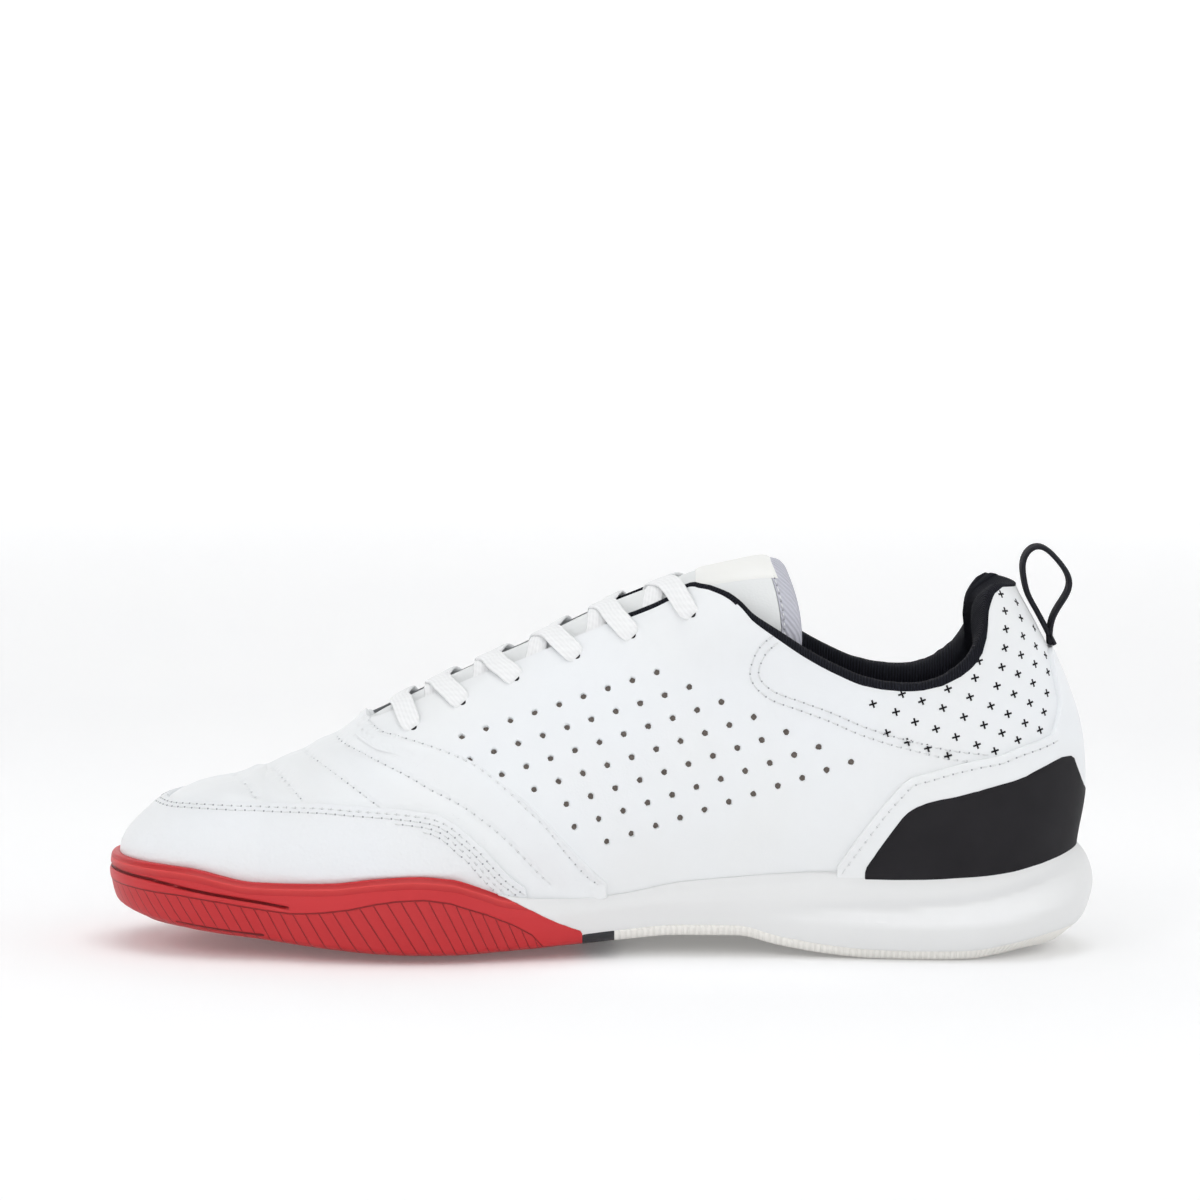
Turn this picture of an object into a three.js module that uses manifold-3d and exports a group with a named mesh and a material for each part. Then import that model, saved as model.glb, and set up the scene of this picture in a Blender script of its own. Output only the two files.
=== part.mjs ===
// A right indoor football shoe, empty, standing on its sole.
// Millimetres. Toe towards -X, heel towards +X, medial side towards -Y, up is +Z, floor at z = 0.

import * as THREE from 'three';
import { mergeVertices } from 'three/addons/utils/BufferGeometryUtils.js';
import Module from 'manifold-3d';

const wasm = await Module();
wasm.setup();

// Driving dimensions
const LENGTH = 292;            // outsole, toe to heel
const BALL_WIDTH = 106;        // outsole, across the ball of the foot
const SOLE_HEIGHT = 33;        // top of the midsole behind the heel
const UPPER_HEIGHT = 92;       // top of the heel collar above the footbed
const WALL = 2;                // upper, with its inner layer
const CLEARANCE = 0.3;         // between pieces that meet
const GUARD_THICKNESS = 1;     // toe guard leather
const COUNTER_THICKNESS = 1.1; // heel counter leather
const PATCH_THICKNESS = 1.5;   // heel patch
const PANEL_STEP = 0.7;        // side panel, standing proud of the vamp
const PANEL_TOE_OUT = 4;       // the panel's seam turns heelwards by this at the rim
const INSOLE_THICKNESS = 4;
const TONGUE_THICKNESS = 5;
const TONGUE_WIDTH = 50;
const BAND_THICKNESS = 0.9;    // band over the tongue's end
const LINING_THICKNESS = 3;    // collar lining at the sides
const HEEL_PADDING = 6.5;      // collar lining behind the ankle
const LINING_DEPTH = 24;       // down inside the shoe
const LINING_ROLL = 1.8;       // stands above the edge of the upper
const HEEL_RUBBER = 2.6;       // heel outsole
const LACE_WIDTH = 6.5;
const LACE_THICKNESS = 1.2;
const EYELET_SETBACK = 7.5;    // from the edge of the throat to a lace hole
const LOOP_WIDTH = 10;         // pull loop webbing
const LOOP_THICKNESS = 1.8;
const RIB_PITCH = 4;           // along the edge of the forefoot rubber
const RIB_GROOVE = 1.2;        // width of a groove between two ribs
const RIB_DEPTH = 0.5;
const LIP_GROOVE = 1;          // height of the groove under the toe lip
const LIP_GROOVE_DEPTH = 1.4;

const PAST = 1;                // how far a cutting form reaches past what it cuts
const INSIDE_DROP = 8;         // how far the inside forms reach below the footbed

const HALF_WIDTH = BALL_WIDTH / 2;
const FAR = LENGTH;            // longer than any piece, for cutting shapes

// Where the round toe and the round heel begin, as shares of LENGTH from the middle
const TOE_AXIS = -0.34;
const HEEL_AXIS = 0.355;
const TOE_BIAS = -0.13;        // share of HALF_WIDTH that the toe leans to the medial side

// Rows of a table, by the names of its columns
const rowsOf = (names, rows) => rows.map((row) => (
  Object.fromEntries(names.split(' ').map((name, i) => [name, row[i]]))
));

// The sole: x along LENGTH, both half widths of HALF_WIDTH, heights of SOLE_HEIGHT (low is the underside),
// insets of HALF_WIDTH from the widest outline, lip is the rubber or foam beside the upper
const SOLE = rowsOf('x low edge inset side rim rimIn lip bed', [
  [-0.50, 0.235, 0.37, 0.06, 0.64, 0.825, 0.012, 0.064, 0.51],
  [-0.42, 0.17, 0.25, 0.075, 0.58, 0.80, 0.015, 0.058, 0.42],
  [-0.34, 0.095, 0.175, 0.085, 0.48, 0.69, 0.017, 0.055, 0.33],
  [-0.27, 0.03, 0.115, 0.085, 0.42, 0.71, 0.019, 0.053, 0.29],
  [-0.22, 0, 0.085, 0.085, 0.42, 0.765, 0.019, 0.051, 0.28],
  [-0.185, 0, 0.075, 0.085, 0.42, 0.785, 0.019, 0.051, 0.27],
  [-0.15, 0, 0.072, 0.085, 0.41, 0.76, 0.019, 0.049, 0.27],
  [-0.12, 0, 0.08, 0.085, 0.40, 0.68, 0.019, 0.045, 0.28],
  [-0.095, 0.02, 0.09, 0.085, 0.39, 0.60, 0.019, 0.042, 0.29],
  [-0.06, 0.045, 0.105, 0.09, 0.38, 0.56, 0.023, 0.034, 0.32],
  [-0.02, 0.085, 0.135, 0.09, 0.40, 0.55, 0.028, 0.028, 0.36],
  [0.02, 0.125, 0.165, 0.09, 0.43, 0.58, 0.030, 0.026, 0.40],
  [0.08, 0.17, 0.20, 0.09, 0.47, 0.68, 0.034, 0.023, 0.46],
  [0.135, 0.17, 0.20, 0.09, 0.48, 0.725, 0.042, 0.023, 0.50],
  [0.175, 0.10, 0.125, 0.09, 0.48, 0.76, 0.050, 0.023, 0.52],
  [0.22, 0.035, 0.062, 0.09, 0.48, 0.79, 0.056, 0.023, 0.53],
  [0.27, 0, 0.026, 0.095, 0.48, 0.80, 0.062, 0.023, 0.54],
  [0.32, 0, 0.02, 0.095, 0.48, 0.805, 0.068, 0.023, 0.545],
  [0.37, 0, 0.03, 0.105, 0.50, 0.835, 0.075, 0.023, 0.55],
  [0.41, 0.03, 0.085, 0.115, 0.52, 0.88, 0.083, 0.023, 0.55],
  [0.455, 0.08, 0.155, 0.125, 0.55, 0.96, 0.094, 0.023, 0.56],
  [0.50, 0.10, 0.18, 0.13, 0.60, 1.00, 0.106, 0.023, 0.56],
]);

// The widest outline, between the two round ends: half widths of HALF_WIDTH
const OUTLINE = [
  { x: -0.34, medial: 0.85, lateral: 0.62 },
  { x: -0.27, medial: 0.955, lateral: 0.79 },
  { x: -0.20, medial: 1.00, lateral: 0.925 },
  { x: -0.14, medial: 0.955, lateral: 0.985 },
  { x: -0.11, medial: 0.895, lateral: 1.00 },
  { x: -0.07, medial: 0.82, lateral: 0.98 },
  { x: 0.00, medial: 0.69, lateral: 0.92 },
  { x: 0.07, medial: 0.63, lateral: 0.86 },
  { x: 0.14, medial: 0.62, lateral: 0.80 },
  { x: 0.21, medial: 0.65, lateral: 0.76 },
  { x: 0.28, medial: 0.69, lateral: 0.735 },
  { x: 0.355, medial: 0.705, lateral: 0.715 },
];

// The upper above the rim of the sole: wide is how far it swells past the rim in HALF_WIDTH,
// heights of UPPER_HEIGHT above the footbed, high and crest are widths as shares of the widest
const UPPER = rowsOf('x wide wideZ high highZ crest crestZ top', [
  [-0.34, 0.011, 0.17, 0.84, 0.315, 0.47, 0.413, 0.449],
  [-0.27, 0.015, 0.18, 0.84, 0.363, 0.45, 0.518, 0.576],
  [-0.20, 0.015, 0.195, 0.83, 0.41, 0.42, 0.64, 0.702],
  [-0.14, 0.015, 0.207, 0.82, 0.455, 0.40, 0.728, 0.795],
  [-0.07, 0.03, 0.235, 0.82, 0.51, 0.41, 0.815, 0.878],
  [0.00, 0.055, 0.264, 0.85, 0.565, 0.46, 0.895, 0.960],
  [0.07, 0.063, 0.288, 0.87, 0.61, 0.56, 0.958, 1.025],
  [0.095, 0.06, 0.288, 0.88, 0.635, 0.68, 0.985, 1.070],
  [0.14, 0.057, 0.277, 0.89, 0.668, 0.78, 0.973, 1.136],
  [0.21, 0.045, 0.255, 0.90, 0.658, 0.84, 0.962, 1.19],
  [0.28, 0.03, 0.241, 0.90, 0.633, 0.83, 0.959, 1.209],
  [0.355, 0.026, 0.239, 0.90, 0.609, 0.79, 0.946, 1.217],
]);
// The same at the tip of the toe and at the back of the heel, with wideZ measured from the rim
const TOE_TIP = { wide: 0.001, wideZ: 0.004, high: 0.79, highZ: 0.253, crest: 0.60, crestZ: 0.30 };
const HEEL_TIP = {
  wide: 0.043, wideZ: 0.183, high: 0.917, highZ: 0.58, crest: 0.51, crestZ: 0.928,
};
const TUCK = 0.028;            // share of HALF_WIDTH that the lasted edge turns in below the rim

// A smooth curve through one column of a table, without overshoot
function curve(rows, key) {
  const slopes = rows.map((row, i) => {
    if (i === 0 || i === rows.length - 1) return 0;
    const before = (row[key] - rows[i - 1][key]) / (row.x - rows[i - 1].x);
    const after = (rows[i + 1][key] - row[key]) / (rows[i + 1].x - row.x);
    return before * after <= 0 ? 0 : (2 * before * after) / (before + after);
  });
  const last = rows.length - 1;
  slopes[0] = (rows[1][key] - rows[0][key]) / (rows[1].x - rows[0].x);
  slopes[last] = (rows[last][key] - rows[last - 1][key]) / (rows[last].x - rows[last - 1].x);
  return (x) => {
    if (x <= rows[0].x) return rows[0][key];
    if (x >= rows[last].x) return rows[last][key];
    const i = rows.findIndex((row) => row.x > x) - 1;
    const span = rows[i + 1].x - rows[i].x;
    const t = (x - rows[i].x) / span;
    const rise = t * t * (3 - 2 * t);
    const lead = t * (1 - t) * (1 - t) * slopes[i];
    const tail = t * t * (1 - t) * slopes[i + 1];
    return rows[i][key] * (1 - rise) + rows[i + 1][key] * rise + span * (lead - tail);
  };
}

function columns(rows) {
  const out = {};
  for (const key of Object.keys(rows[0])) out[key] = curve(rows, key);
  return out;
}

const sole = columns(SOLE);
const outline = columns(OUTLINE);
const upperTable = columns(UPPER);

const mix = (a, b, t) => a + (b - a) * t;
const smooth = (t) => {
  const u = Math.min(1, Math.max(0, t));
  return u * u * (3 - 2 * u);
};
const spineY = (x) => TOE_BIAS * HALF_WIDTH * (1 - smooth((x - TOE_AXIS) / 0.48));
const bedZ = (x) => sole.bed(x) * SOLE_HEIGHT;

// Half width of the sole from the spine, on one side (-1 medial, 1 lateral)
function soleWidth(x, side) {
  const half = side < 0 ? outline.medial(x) : outline.lateral(x);
  return half * HALF_WIDTH + side * -spineY(x);
}

// A place on the perimeter: a station between the ends, or an angle round the toe or the heel
const STATIONS = 18;
const FAN = 5;
function places(side) {
  const list = [];
  for (let i = 0; i < FAN; i += 1) {
    list.push({ end: 'toe', x: TOE_AXIS, reach: 0.5 + TOE_AXIS, angle: (i / FAN) * Math.PI / 2, side });
  }
  for (let i = 0; i <= STATIONS; i += 1) {
    const x = mix(TOE_AXIS, HEEL_AXIS, i / STATIONS);
    list.push({ end: 'none', x, reach: 0, angle: Math.PI / 2, side });
  }
  for (let i = FAN - 1; i >= 0; i -= 1) {
    list.push({ end: 'heel', x: HEEL_AXIS, reach: 0.5 - HEEL_AXIS, angle: (i / FAN) * Math.PI / 2, side });
  }
  return list;
}

// Turns a width on the side and a reach at the tip into a point on a rounded end
const ROUNDNESS = 2.1;
function placePoint(place, width, tip, z) {
  const spine = { x: place.x * LENGTH, y: spineY(place.x) };
  if (place.end === 'none') return new THREE.Vector3(spine.x, spine.y + place.side * width, z);
  if (width <= 0 || tip <= 0) return new THREE.Vector3(spine.x, spine.y, z);
  const c = Math.cos(place.angle);
  const s = Math.sin(place.angle);
  const r = ((c / tip) ** ROUNDNESS + (s / width) ** ROUNDNESS) ** (-1 / ROUNDNESS);
  const way = place.end === 'toe' ? -1 : 1;
  return new THREE.Vector3(spine.x + way * r * c, spine.y + place.side * r * s, z);
}

// Share along LENGTH of the widest outline at a place
function outlineX(place) {
  return placePoint(place, soleWidth(place.x, place.side), place.reach * LENGTH, 0).x / LENGTH;
}

// One column of the sole: bottom spine, flat, edge, side, rim and top spine
const TREAD = columns([         // share of HALF_WIDTH from the outline to the flat tread
  { x: -0.50, inset: 0.20 },
  { x: -0.42, inset: 0.28 },
  { x: -0.32, inset: 0.42 },
  { x: -0.12, inset: 0.42 },
  { x: 0.00, inset: 0.24 },
  { x: 0.10, inset: 0.19 },
]);
const EDGE_ROUND = 0.35;       // share of the edge's inset that is left a third of the way up
const RIM_ROW = 6;
function soleColumn(place, grow, sink = 0) {
  const x = outlineX(place);
  const heights = { edge: sole.edge(x), side: sole.side(x), rim: sole.rim(x), low: sole.low(x) };
  const level = (inset, z) => placePoint(
    place,
    soleWidth(place.x, place.side) - inset * HALF_WIDTH + grow,
    place.reach * LENGTH - inset * HALF_WIDTH + grow,
    z * SOLE_HEIGHT,
  );
  const spineX = place.x;
  return [
    placePoint(place, 0, 0, sole.low(spineX) * SOLE_HEIGHT - sink),
    level(TREAD.inset(x), heights.low - sink / SOLE_HEIGHT),
    level(sole.inset(x), heights.edge),
    level(sole.inset(x) * EDGE_ROUND, mix(heights.edge, heights.side, 0.35)),
    level(0, heights.side),
    level(sole.rimIn(x) * 0.3, mix(heights.side, heights.rim, 0.55)),
    level(sole.rimIn(x), heights.rim),
    placePoint(place, 0, 0, sole.rim(spineX) * SOLE_HEIGHT),
  ];
}

// Hermite steps between two points of a half section
function between(a, b, ta, tb, steps) {
  const out = [];
  for (let i = 1; i <= steps; i += 1) {
    const t = i / steps;
    const h = t * t * (3 - 2 * t);
    const lead = t * (1 - t) * (1 - t);
    const tail = t * t * (1 - t);
    out.push([0, 1].map((k) => mix(a[k], b[k], h) + lead * ta[k] - tail * tb[k]));
  }
  return out;
}

// Half section of the upper from the lasted edge to the ridge: [width, height] pairs
function halfSection(row, rimWidth, bed, rimZ, topZ, topSlope) {
  const widest = rimWidth + row.wide * HALF_WIDTH;
  const rise = (share) => bed + share * UPPER_HEIGHT;
  const knots = [
    [rimWidth - TUCK * HALF_WIDTH, bed],
    [rimWidth, rimZ],
    [widest, rise(row.wideZ)],
    [widest * row.high, rise(row.highZ)],
    [widest * row.crest, rise(row.crestZ)],
    [0, topZ],
  ];
  const length = (a, b) => Math.hypot(b[0] - a[0], b[1] - a[1]);
  const aims = knots.map((knot, i) => {
    if (i === 0) return [0.45, 0.9];
    if (i === 2) return [0, 1];
    if (i === knots.length - 1) return [-1 / Math.hypot(1, topSlope), topSlope / Math.hypot(1, topSlope)];
    const span = length(knots[i - 1], knots[i + 1]);
    return [0, 1].map((k) => (knots[i + 1][k] - knots[i - 1][k]) / span);
  });
  const steps = [1, 2, 2, 2, 2];
  const points = [knots[0]];
  steps.forEach((count, i) => {
    const span = length(knots[i], knots[i + 1]);
    const ta = aims[i].map((v) => v * span);
    const tb = aims[i + 1].map((v) => v * span);
    points.push(...between(knots[i], knots[i + 1], ta, tb, count));
  });
  return points;
}

function rimWidthAt(x, side) {
  return soleWidth(x, side) - (sole.rimIn(x) + sole.lip(x)) * HALF_WIDTH - CLEARANCE;
}

function stationSection(x, side) {
  const row = {};
  for (const key of Object.keys(UPPER[0])) row[key] = upperTable[key](x);
  const bed = bedZ(x);
  const rimZ = sole.rim(x) * SOLE_HEIGHT;
  return halfSection(row, rimWidthAt(x, side), bed, rimZ, bed + row.top * UPPER_HEIGHT, 0);
}

// One column of the upper, from the bottom spine to the ridge
function upperColumn(place) {
  const bedCentre = bedZ(place.x);
  if (place.end === 'none') {
    const section = stationSection(place.x, place.side);
    return [placePoint(place, 0, 0, bedCentre), ...section.map(([w, z]) => placePoint(place, w, 0, z))];
  }
  const end = place.end === 'toe' ? -0.5 : 0.5;
  const endRim = sole.rim(end) * SOLE_HEIGHT;
  const row = { ...(place.end === 'toe' ? TOE_TIP : HEEL_TIP) };
  row.wideZ += (endRim - bedZ(end)) / UPPER_HEIGHT;
  const ridge = upperTable.top;
  const step = 0.002;
  const way = place.end === 'toe' ? 1 : -1;
  const rise = bedZ(place.x + way * step) - bedCentre
    + (ridge(place.x + way * step) - ridge(place.x)) * UPPER_HEIGHT;
  const slope = Math.max(0, rise / (step * LENGTH));
  const topZ = bedCentre + ridge(place.x) * UPPER_HEIGHT;
  const rimReach = place.reach * LENGTH - (sole.rimIn(end) + sole.lip(end)) * HALF_WIDTH - CLEARANCE;
  const tip = halfSection(row, rimReach, bedZ(end), endRim, topZ, slope);
  const side = stationSection(place.x, place.side);
  const share = Math.sin(place.angle) ** 2;
  const x = outlineX(place);
  const rimZ = sole.rim(x) * SOLE_HEIGHT;
  const rimShift = rimZ - mix(tip[1][1], side[1][1], share);
  const last = tip.length - 1;
  const points = tip.map(([reach, z], i) => {
    if (i === 0) return placePoint(place, side[0][0], reach, bedZ(x));
    const fade = (last - i) / (last - 1);
    return placePoint(place, side[i][0], reach, mix(z, side[i][1], share) + rimShift * fade);
  });
  return [placePoint(place, 0, 0, bedCentre), ...points];
}

// Closed geometry from a ring of equal columns that share their first and last points in pairs
function ringGeometry(ring) {
  const rows = ring[0].length;
  const vertices = [];
  const faces = [];
  ring.forEach((column) => column.forEach((p) => vertices.push(p.x, p.y, p.z)));
  for (let i = 0; i < ring.length; i += 1) {
    const j = (i + 1) % ring.length;
    for (let k = 0; k < rows - 1; k += 1) {
      const a = i * rows + k;
      const b = j * rows + k;
      faces.push(a, b, b + 1, a, b + 1, a + 1);
    }
  }
  return weld(vertices, faces);
}

// Merges equal points and drops the faces that lost their area
function weld(vertices, faces) {
  const geometry = new THREE.BufferGeometry();
  geometry.setAttribute('position', new THREE.Float32BufferAttribute(vertices, 3));
  geometry.setIndex(faces);
  const merged = mergeVertices(geometry, 1e-4);
  const index = merged.getIndex().array;
  const kept = [];
  for (let i = 0; i < index.length; i += 3) {
    const [a, b, c] = [index[i], index[i + 1], index[i + 2]];
    if (a !== b && b !== c && a !== c) kept.push(a, b, c);
  }
  merged.setIndex(kept);
  return merged;
}

function solidFrom(geometry) {
  const bare = geometry.clone();
  bare.deleteAttribute('normal');
  bare.deleteAttribute('uv');
  const merged = weld(bare.getAttribute('position').array, bare.getIndex()
    ? Array.from(bare.getIndex().array)
    : Array.from({ length: bare.getAttribute('position').count }, (_, i) => i));
  return new wasm.Manifold(new wasm.Mesh({
    numProp: 3,
    vertProperties: new Float32Array(merged.getAttribute('position').array),
    triVerts: new Uint32Array(merged.getIndex().array),
  }));
}

function geometryFrom(solid) {
  const mesh = solid.getMesh();
  const geometry = new THREE.BufferGeometry();
  const count = mesh.vertProperties.length / mesh.numProp;
  const positions = new Float32Array(count * 3);
  for (let i = 0; i < count; i += 1) {
    for (let k = 0; k < 3; k += 1) positions[i * 3 + k] = mesh.vertProperties[i * mesh.numProp + k];
  }
  geometry.setAttribute('position', new THREE.BufferAttribute(positions, 3));
  geometry.setIndex(new THREE.BufferAttribute(new Uint32Array(mesh.triVerts), 1));
  geometry.computeVertexNormals();
  return geometry;
}

const joinAll = (solids) => solids.reduce((sum, solid) => sum.add(solid));

// Both sides of the perimeter as one ring, toe tip to heel tip and back
function ringOf(column) {
  const medial = places(-1).map(column);
  const lateral = places(1).map(column);
  lateral[0] = medial[0];
  lateral[lateral.length - 1] = medial[medial.length - 1];
  return [...medial, ...lateral.slice(1, -1).reverse()];
}

// The upper's own form, grown or shrunk by `grow` (a number or a function of a point).
// The lasted edge grows sideways only, and the bottom moves down by `drop`.
const upperRing = ringOf(upperColumn);

// Outward directions on the upper's own form: sideways at the lasted edge, square to the ridge on top
const ridgeSlope = (x) => {
  const step = 0.01;
  const ridge = (at) => bedZ(at) + upperTable.top(at) * UPPER_HEIGHT;
  return (ridge(x + step) - ridge(x - step)) / (2 * step * LENGTH);
};
const upperNormals = upperRing.map((column, i) => {
  const count = upperRing.length;
  const next = upperRing[(i + 1) % count];
  const before = upperRing[(i + count - 1) % count];
  const last = column.length - 1;
  const normals = column.map((p, k) => {
    if (k === 0) return new THREE.Vector3();
    if (k === last) return new THREE.Vector3(-ridgeSlope(p.x / LENGTH), 0, 1).normalize();
    const along = next[k].clone().sub(before[k]);
    const up = column[k + 1].clone().sub(column[Math.max(1, k - 1)]);
    return along.cross(up).normalize();
  });
  normals[1] = normals[2].clone().setZ(0).normalize();
  return normals;
});

function upperForm(grow, drop = 0) {
  const amount = typeof grow === 'function' ? grow : () => grow;
  const ring = upperRing.map((column, i) => column.map((p, k) => {
    const moved = p.clone().addScaledVector(upperNormals[i][k], amount(p));
    if (k < 2) moved.z -= drop;
    return moved;
  }));
  return solidFrom(ringGeometry(ring));
}

function soleForm(grow, sink = 0) {
  return solidFrom(ringGeometry(ringOf((place) => soleColumn(place, grow, sink))));
}

// Cutting shapes: a side outline carried across the shoe, and a plan outline carried up
function sidePrism(points, from = -FAR, to = FAR) {
  const shape = new THREE.Shape(points.map(([x, z]) => new THREE.Vector2(x, z)));
  const geometry = new THREE.ExtrudeGeometry(shape, { depth: to - from, bevelEnabled: false });
  geometry.rotateX(Math.PI / 2);
  geometry.translate(0, to, 0);
  return solidFrom(geometry);
}

function planPrism(points, from = 0, to = FAR) {
  const shape = new THREE.Shape(points.map(([x, y]) => new THREE.Vector2(x, y)));
  const geometry = new THREE.ExtrudeGeometry(shape, { depth: to - from, bevelEnabled: false });
  geometry.translate(0, 0, from);
  return solidFrom(geometry);
}

// Side outlines: x as a share of LENGTH, z as a share of UPPER_HEIGHT above the footbed
const sidePoint = ([x, z]) => [x * LENGTH, bedZ(x) + z * UPPER_HEIGHT];

// Points of a line that follows the sole, a clearance above or below one of its columns
function alongSole(column, from, to, steps, lift) {
  const out = [];
  for (let i = 0; i <= steps; i += 1) {
    const x = mix(from, to, i / steps);
    out.push([x * LENGTH, column(x) * SOLE_HEIGHT + lift]);
  }
  return out;
}

// Height of the sole's rim in side view, straight between its own points
const rimPoints = [-1, 1].map((side) => places(side).map((place) => soleColumn(place, 0)[RIM_ROW]));
function rimHeight(x) {
  return Math.max(...rimPoints.map((line) => {
    const next = line.findIndex((p) => p.x > x);
    if (next <= 0) return next === 0 ? line[0].z : line[line.length - 1].z;
    const [a, b] = [line[next - 1], line[next]];
    return mix(a.z, b.z, (x - a.x) / (b.x - a.x));
  }));
}

// Points a clearance above the rim between two places, from the toe end to the heel end
function rimLine(from, to) {
  const inside = rimPoints[0].map((p) => p.x).filter((x) => x > from + PAST && x < to - PAST);
  return [from, ...inside, to].map((x) => [x, rimHeight(x) + CLEARANCE]);
}

// Edge of the upper round the ankle, from the front of the collar to the heel:
// x along LENGTH, z of UPPER_HEIGHT above the footbed, roll is how far the lining stands past it
const COLLAR = [
  { x: 0.086, z: 1.012, roll: 1 },
  { x: 0.105, z: 0.998, roll: 1 },
  { x: 0.123, z: 0.975, roll: 1 },
  { x: 0.136, z: 0.938, roll: 1 },
  { x: 0.147, z: 0.897, roll: 1 },
  { x: 0.175, z: 0.832, roll: 1 },
  { x: 0.195, z: 0.788, roll: 1 },
  { x: 0.215, z: 0.750, roll: 1 },
  { x: 0.236, z: 0.716, roll: 1 },
  { x: 0.256, z: 0.688, roll: 1 },
  { x: 0.276, z: 0.674, roll: 0.9 },
  { x: 0.296, z: 0.668, roll: 0.8 },
  { x: 0.318, z: 0.671, roll: 0.8 },
  { x: 0.337, z: 0.685, roll: 1.1 },
  { x: 0.355, z: 0.714, roll: 1.9 },
  { x: 0.366, z: 0.742, roll: 2.6 },
  { x: 0.375, z: 0.780, roll: 3.0 },
  { x: 0.381, z: 0.858, roll: 2.6 },
  { x: 0.3815, z: 0.922, roll: 2.0 },
  { x: 0.387, z: 0.966, roll: 1.2 },
  { x: 0.396, z: 0.985, roll: 0.6 },
  { x: 0.405, z: 0.982, roll: 0.1 },
  { x: 0.44, z: 0.965, roll: -0.5 },
  { x: 0.56, z: 0.94, roll: -0.5 },
];
const collarLine = COLLAR.map(({ x, z }) => sidePoint([x, z]));
function aboveCollar() {
  return sidePrism([[collarLine[0][0], FAR], ...collarLine, [FAR, FAR]]);
}

// Throat: half width of the slot between the two lace edges, shares of HALF_WIDTH
const THROAT_START = -0.238;
const THROAT = columns([
  { x: -0.238, half: 0.12 },
  { x: -0.225, half: 0.19 },
  { x: -0.20, half: 0.23 },
  { x: -0.10, half: 0.255 },
  { x: 0.00, half: 0.285 },
  { x: 0.086, half: 0.33 },
  { x: 0.15, half: 0.36 },
]);
const THROAT_STEPS = 12;
function throatSlot() {
  const medial = [];
  const lateral = [];
  for (let i = 0; i <= THROAT_STEPS; i += 1) {
    const x = mix(THROAT_START, 0.13, (i / THROAT_STEPS) ** 1.3);
    const half = THROAT.half(x) * HALF_WIDTH;
    medial.push([x * LENGTH, spineY(x) - half]);
    lateral.unshift([x * LENGTH, spineY(x) + half]);
  }
  return planPrism([...medial, ...lateral], bedZ(THROAT_START) + 0.35 * UPPER_HEIGHT);
}

// Front seam of the side panel and top edge of the toe guard, in side view
const PANEL_SEAM = [
  [-0.238, 0.66], [-0.204, 0.585], [-0.164, 0.548], [-0.130, 0.505], [-0.098, 0.458],
  [-0.082, 0.412], [-0.057, 0.325], [-0.028, 0.212], [0.006, 0.115],
];
const GUARD_EDGE = [
  [-0.452, 0.302], [-0.430, 0.316], [-0.40, 0.335], [-0.36, 0.352], [-0.30, 0.383], [-0.25, 0.392],
  [-0.20, 0.385], [-0.171, 0.373], [-0.147, 0.337], [-0.122, 0.270], [-0.102, 0.200],
];
const GUARD_FOOT = -0.070;      // where each edge meets the rim
const COUNTER_FOOT = 0.236;
const PATCH_FOOT = 0.262;
const COUNTER_EDGE = [
  [0.257, 0.195], [0.281, 0.298], [0.291, 0.335], [0.311, 0.388], [0.345, 0.418],
  [0.375, 0.442], [0.415, 0.475], [0.435, 0.502], [0.452, 0.530],
];
const STRIP_EDGE = [[0.456, 0.60], [0.449, 0.70], [0.446, 0.765], [0.52, 0.78]];
const PATCH_EDGE = [
  [0.277, 0.160], [0.297, 0.238], [0.318, 0.294], [0.356, 0.322], [0.396, 0.357],
  [0.436, 0.408], [0.458, 0.447], [0.466, 0.438], [0.476, 0.360], [0.484, 0.308], [0.52, 0.30],
];

// Moves a line of points sideways by a distance, to its left as it runs
function widened(line, distanceAt) {
  return line.map(([x, z], i) => {
    const before = line[Math.max(0, i - 1)];
    const after = line[Math.min(line.length - 1, i + 1)];
    const run = Math.hypot(after[0] - before[0], after[1] - before[1]);
    const [dx, dz] = [(after[0] - before[0]) / run, (after[1] - before[1]) / run];
    const distance = distanceAt(i);
    return [x - dz * distance, z + dx * distance];
  });
}

// A place a clearance above the rim: x as a share of LENGTH
const onRim = (x) => [x * LENGTH, rimHeight(x * LENGTH) + CLEARANCE];

// Closes a side outline downwards along the rim of the sole, from the foot of its front edge
function downToRim(foot, edge) {
  const top = [onRim(foot), ...edge.map(sidePoint)];
  return [...top, ...rimLine(top[0][0], top[top.length - 1][0]).slice(1).reverse()];
}

function makeUpper() {
  const seam = PANEL_SEAM.map(sidePoint).reverse();
  const panel = upperForm(PANEL_STEP).intersect(sidePrism([
    ...seam,
    [seam[seam.length - 1][0], FAR],
    [FAR, FAR],
    ...rimLine(seam[0][0] + PANEL_TOE_OUT, FAR).reverse(),
  ]));
  return upperForm(0)
    .add(panel)
    .subtract(upperForm(-WALL, INSIDE_DROP))
    .subtract(aboveCollar())
    .subtract(throatSlot());
}

function makeToeGuard() {
  const edge = [[-0.452, 0.5], ...GUARD_EDGE].map(sidePoint);
  const outlinePoints = [
    [-FAR, edge[0][1]],
    ...edge,
    ...rimLine(-FAR, GUARD_FOOT * LENGTH).reverse(),
  ];
  return upperForm(CLEARANCE + GUARD_THICKNESS)
    .subtract(upperForm(CLEARANCE, PAST))
    .intersect(sidePrism(outlinePoints));
}

function patchOutline() {
  return sidePrism(downToRim(PATCH_FOOT, PATCH_EDGE));
}

function makeHeelPatch() {
  const base = PANEL_STEP + CLEARANCE;
  return upperForm(base + PATCH_THICKNESS)
    .subtract(upperForm(base, PAST))
    .intersect(patchOutline());
}

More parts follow.
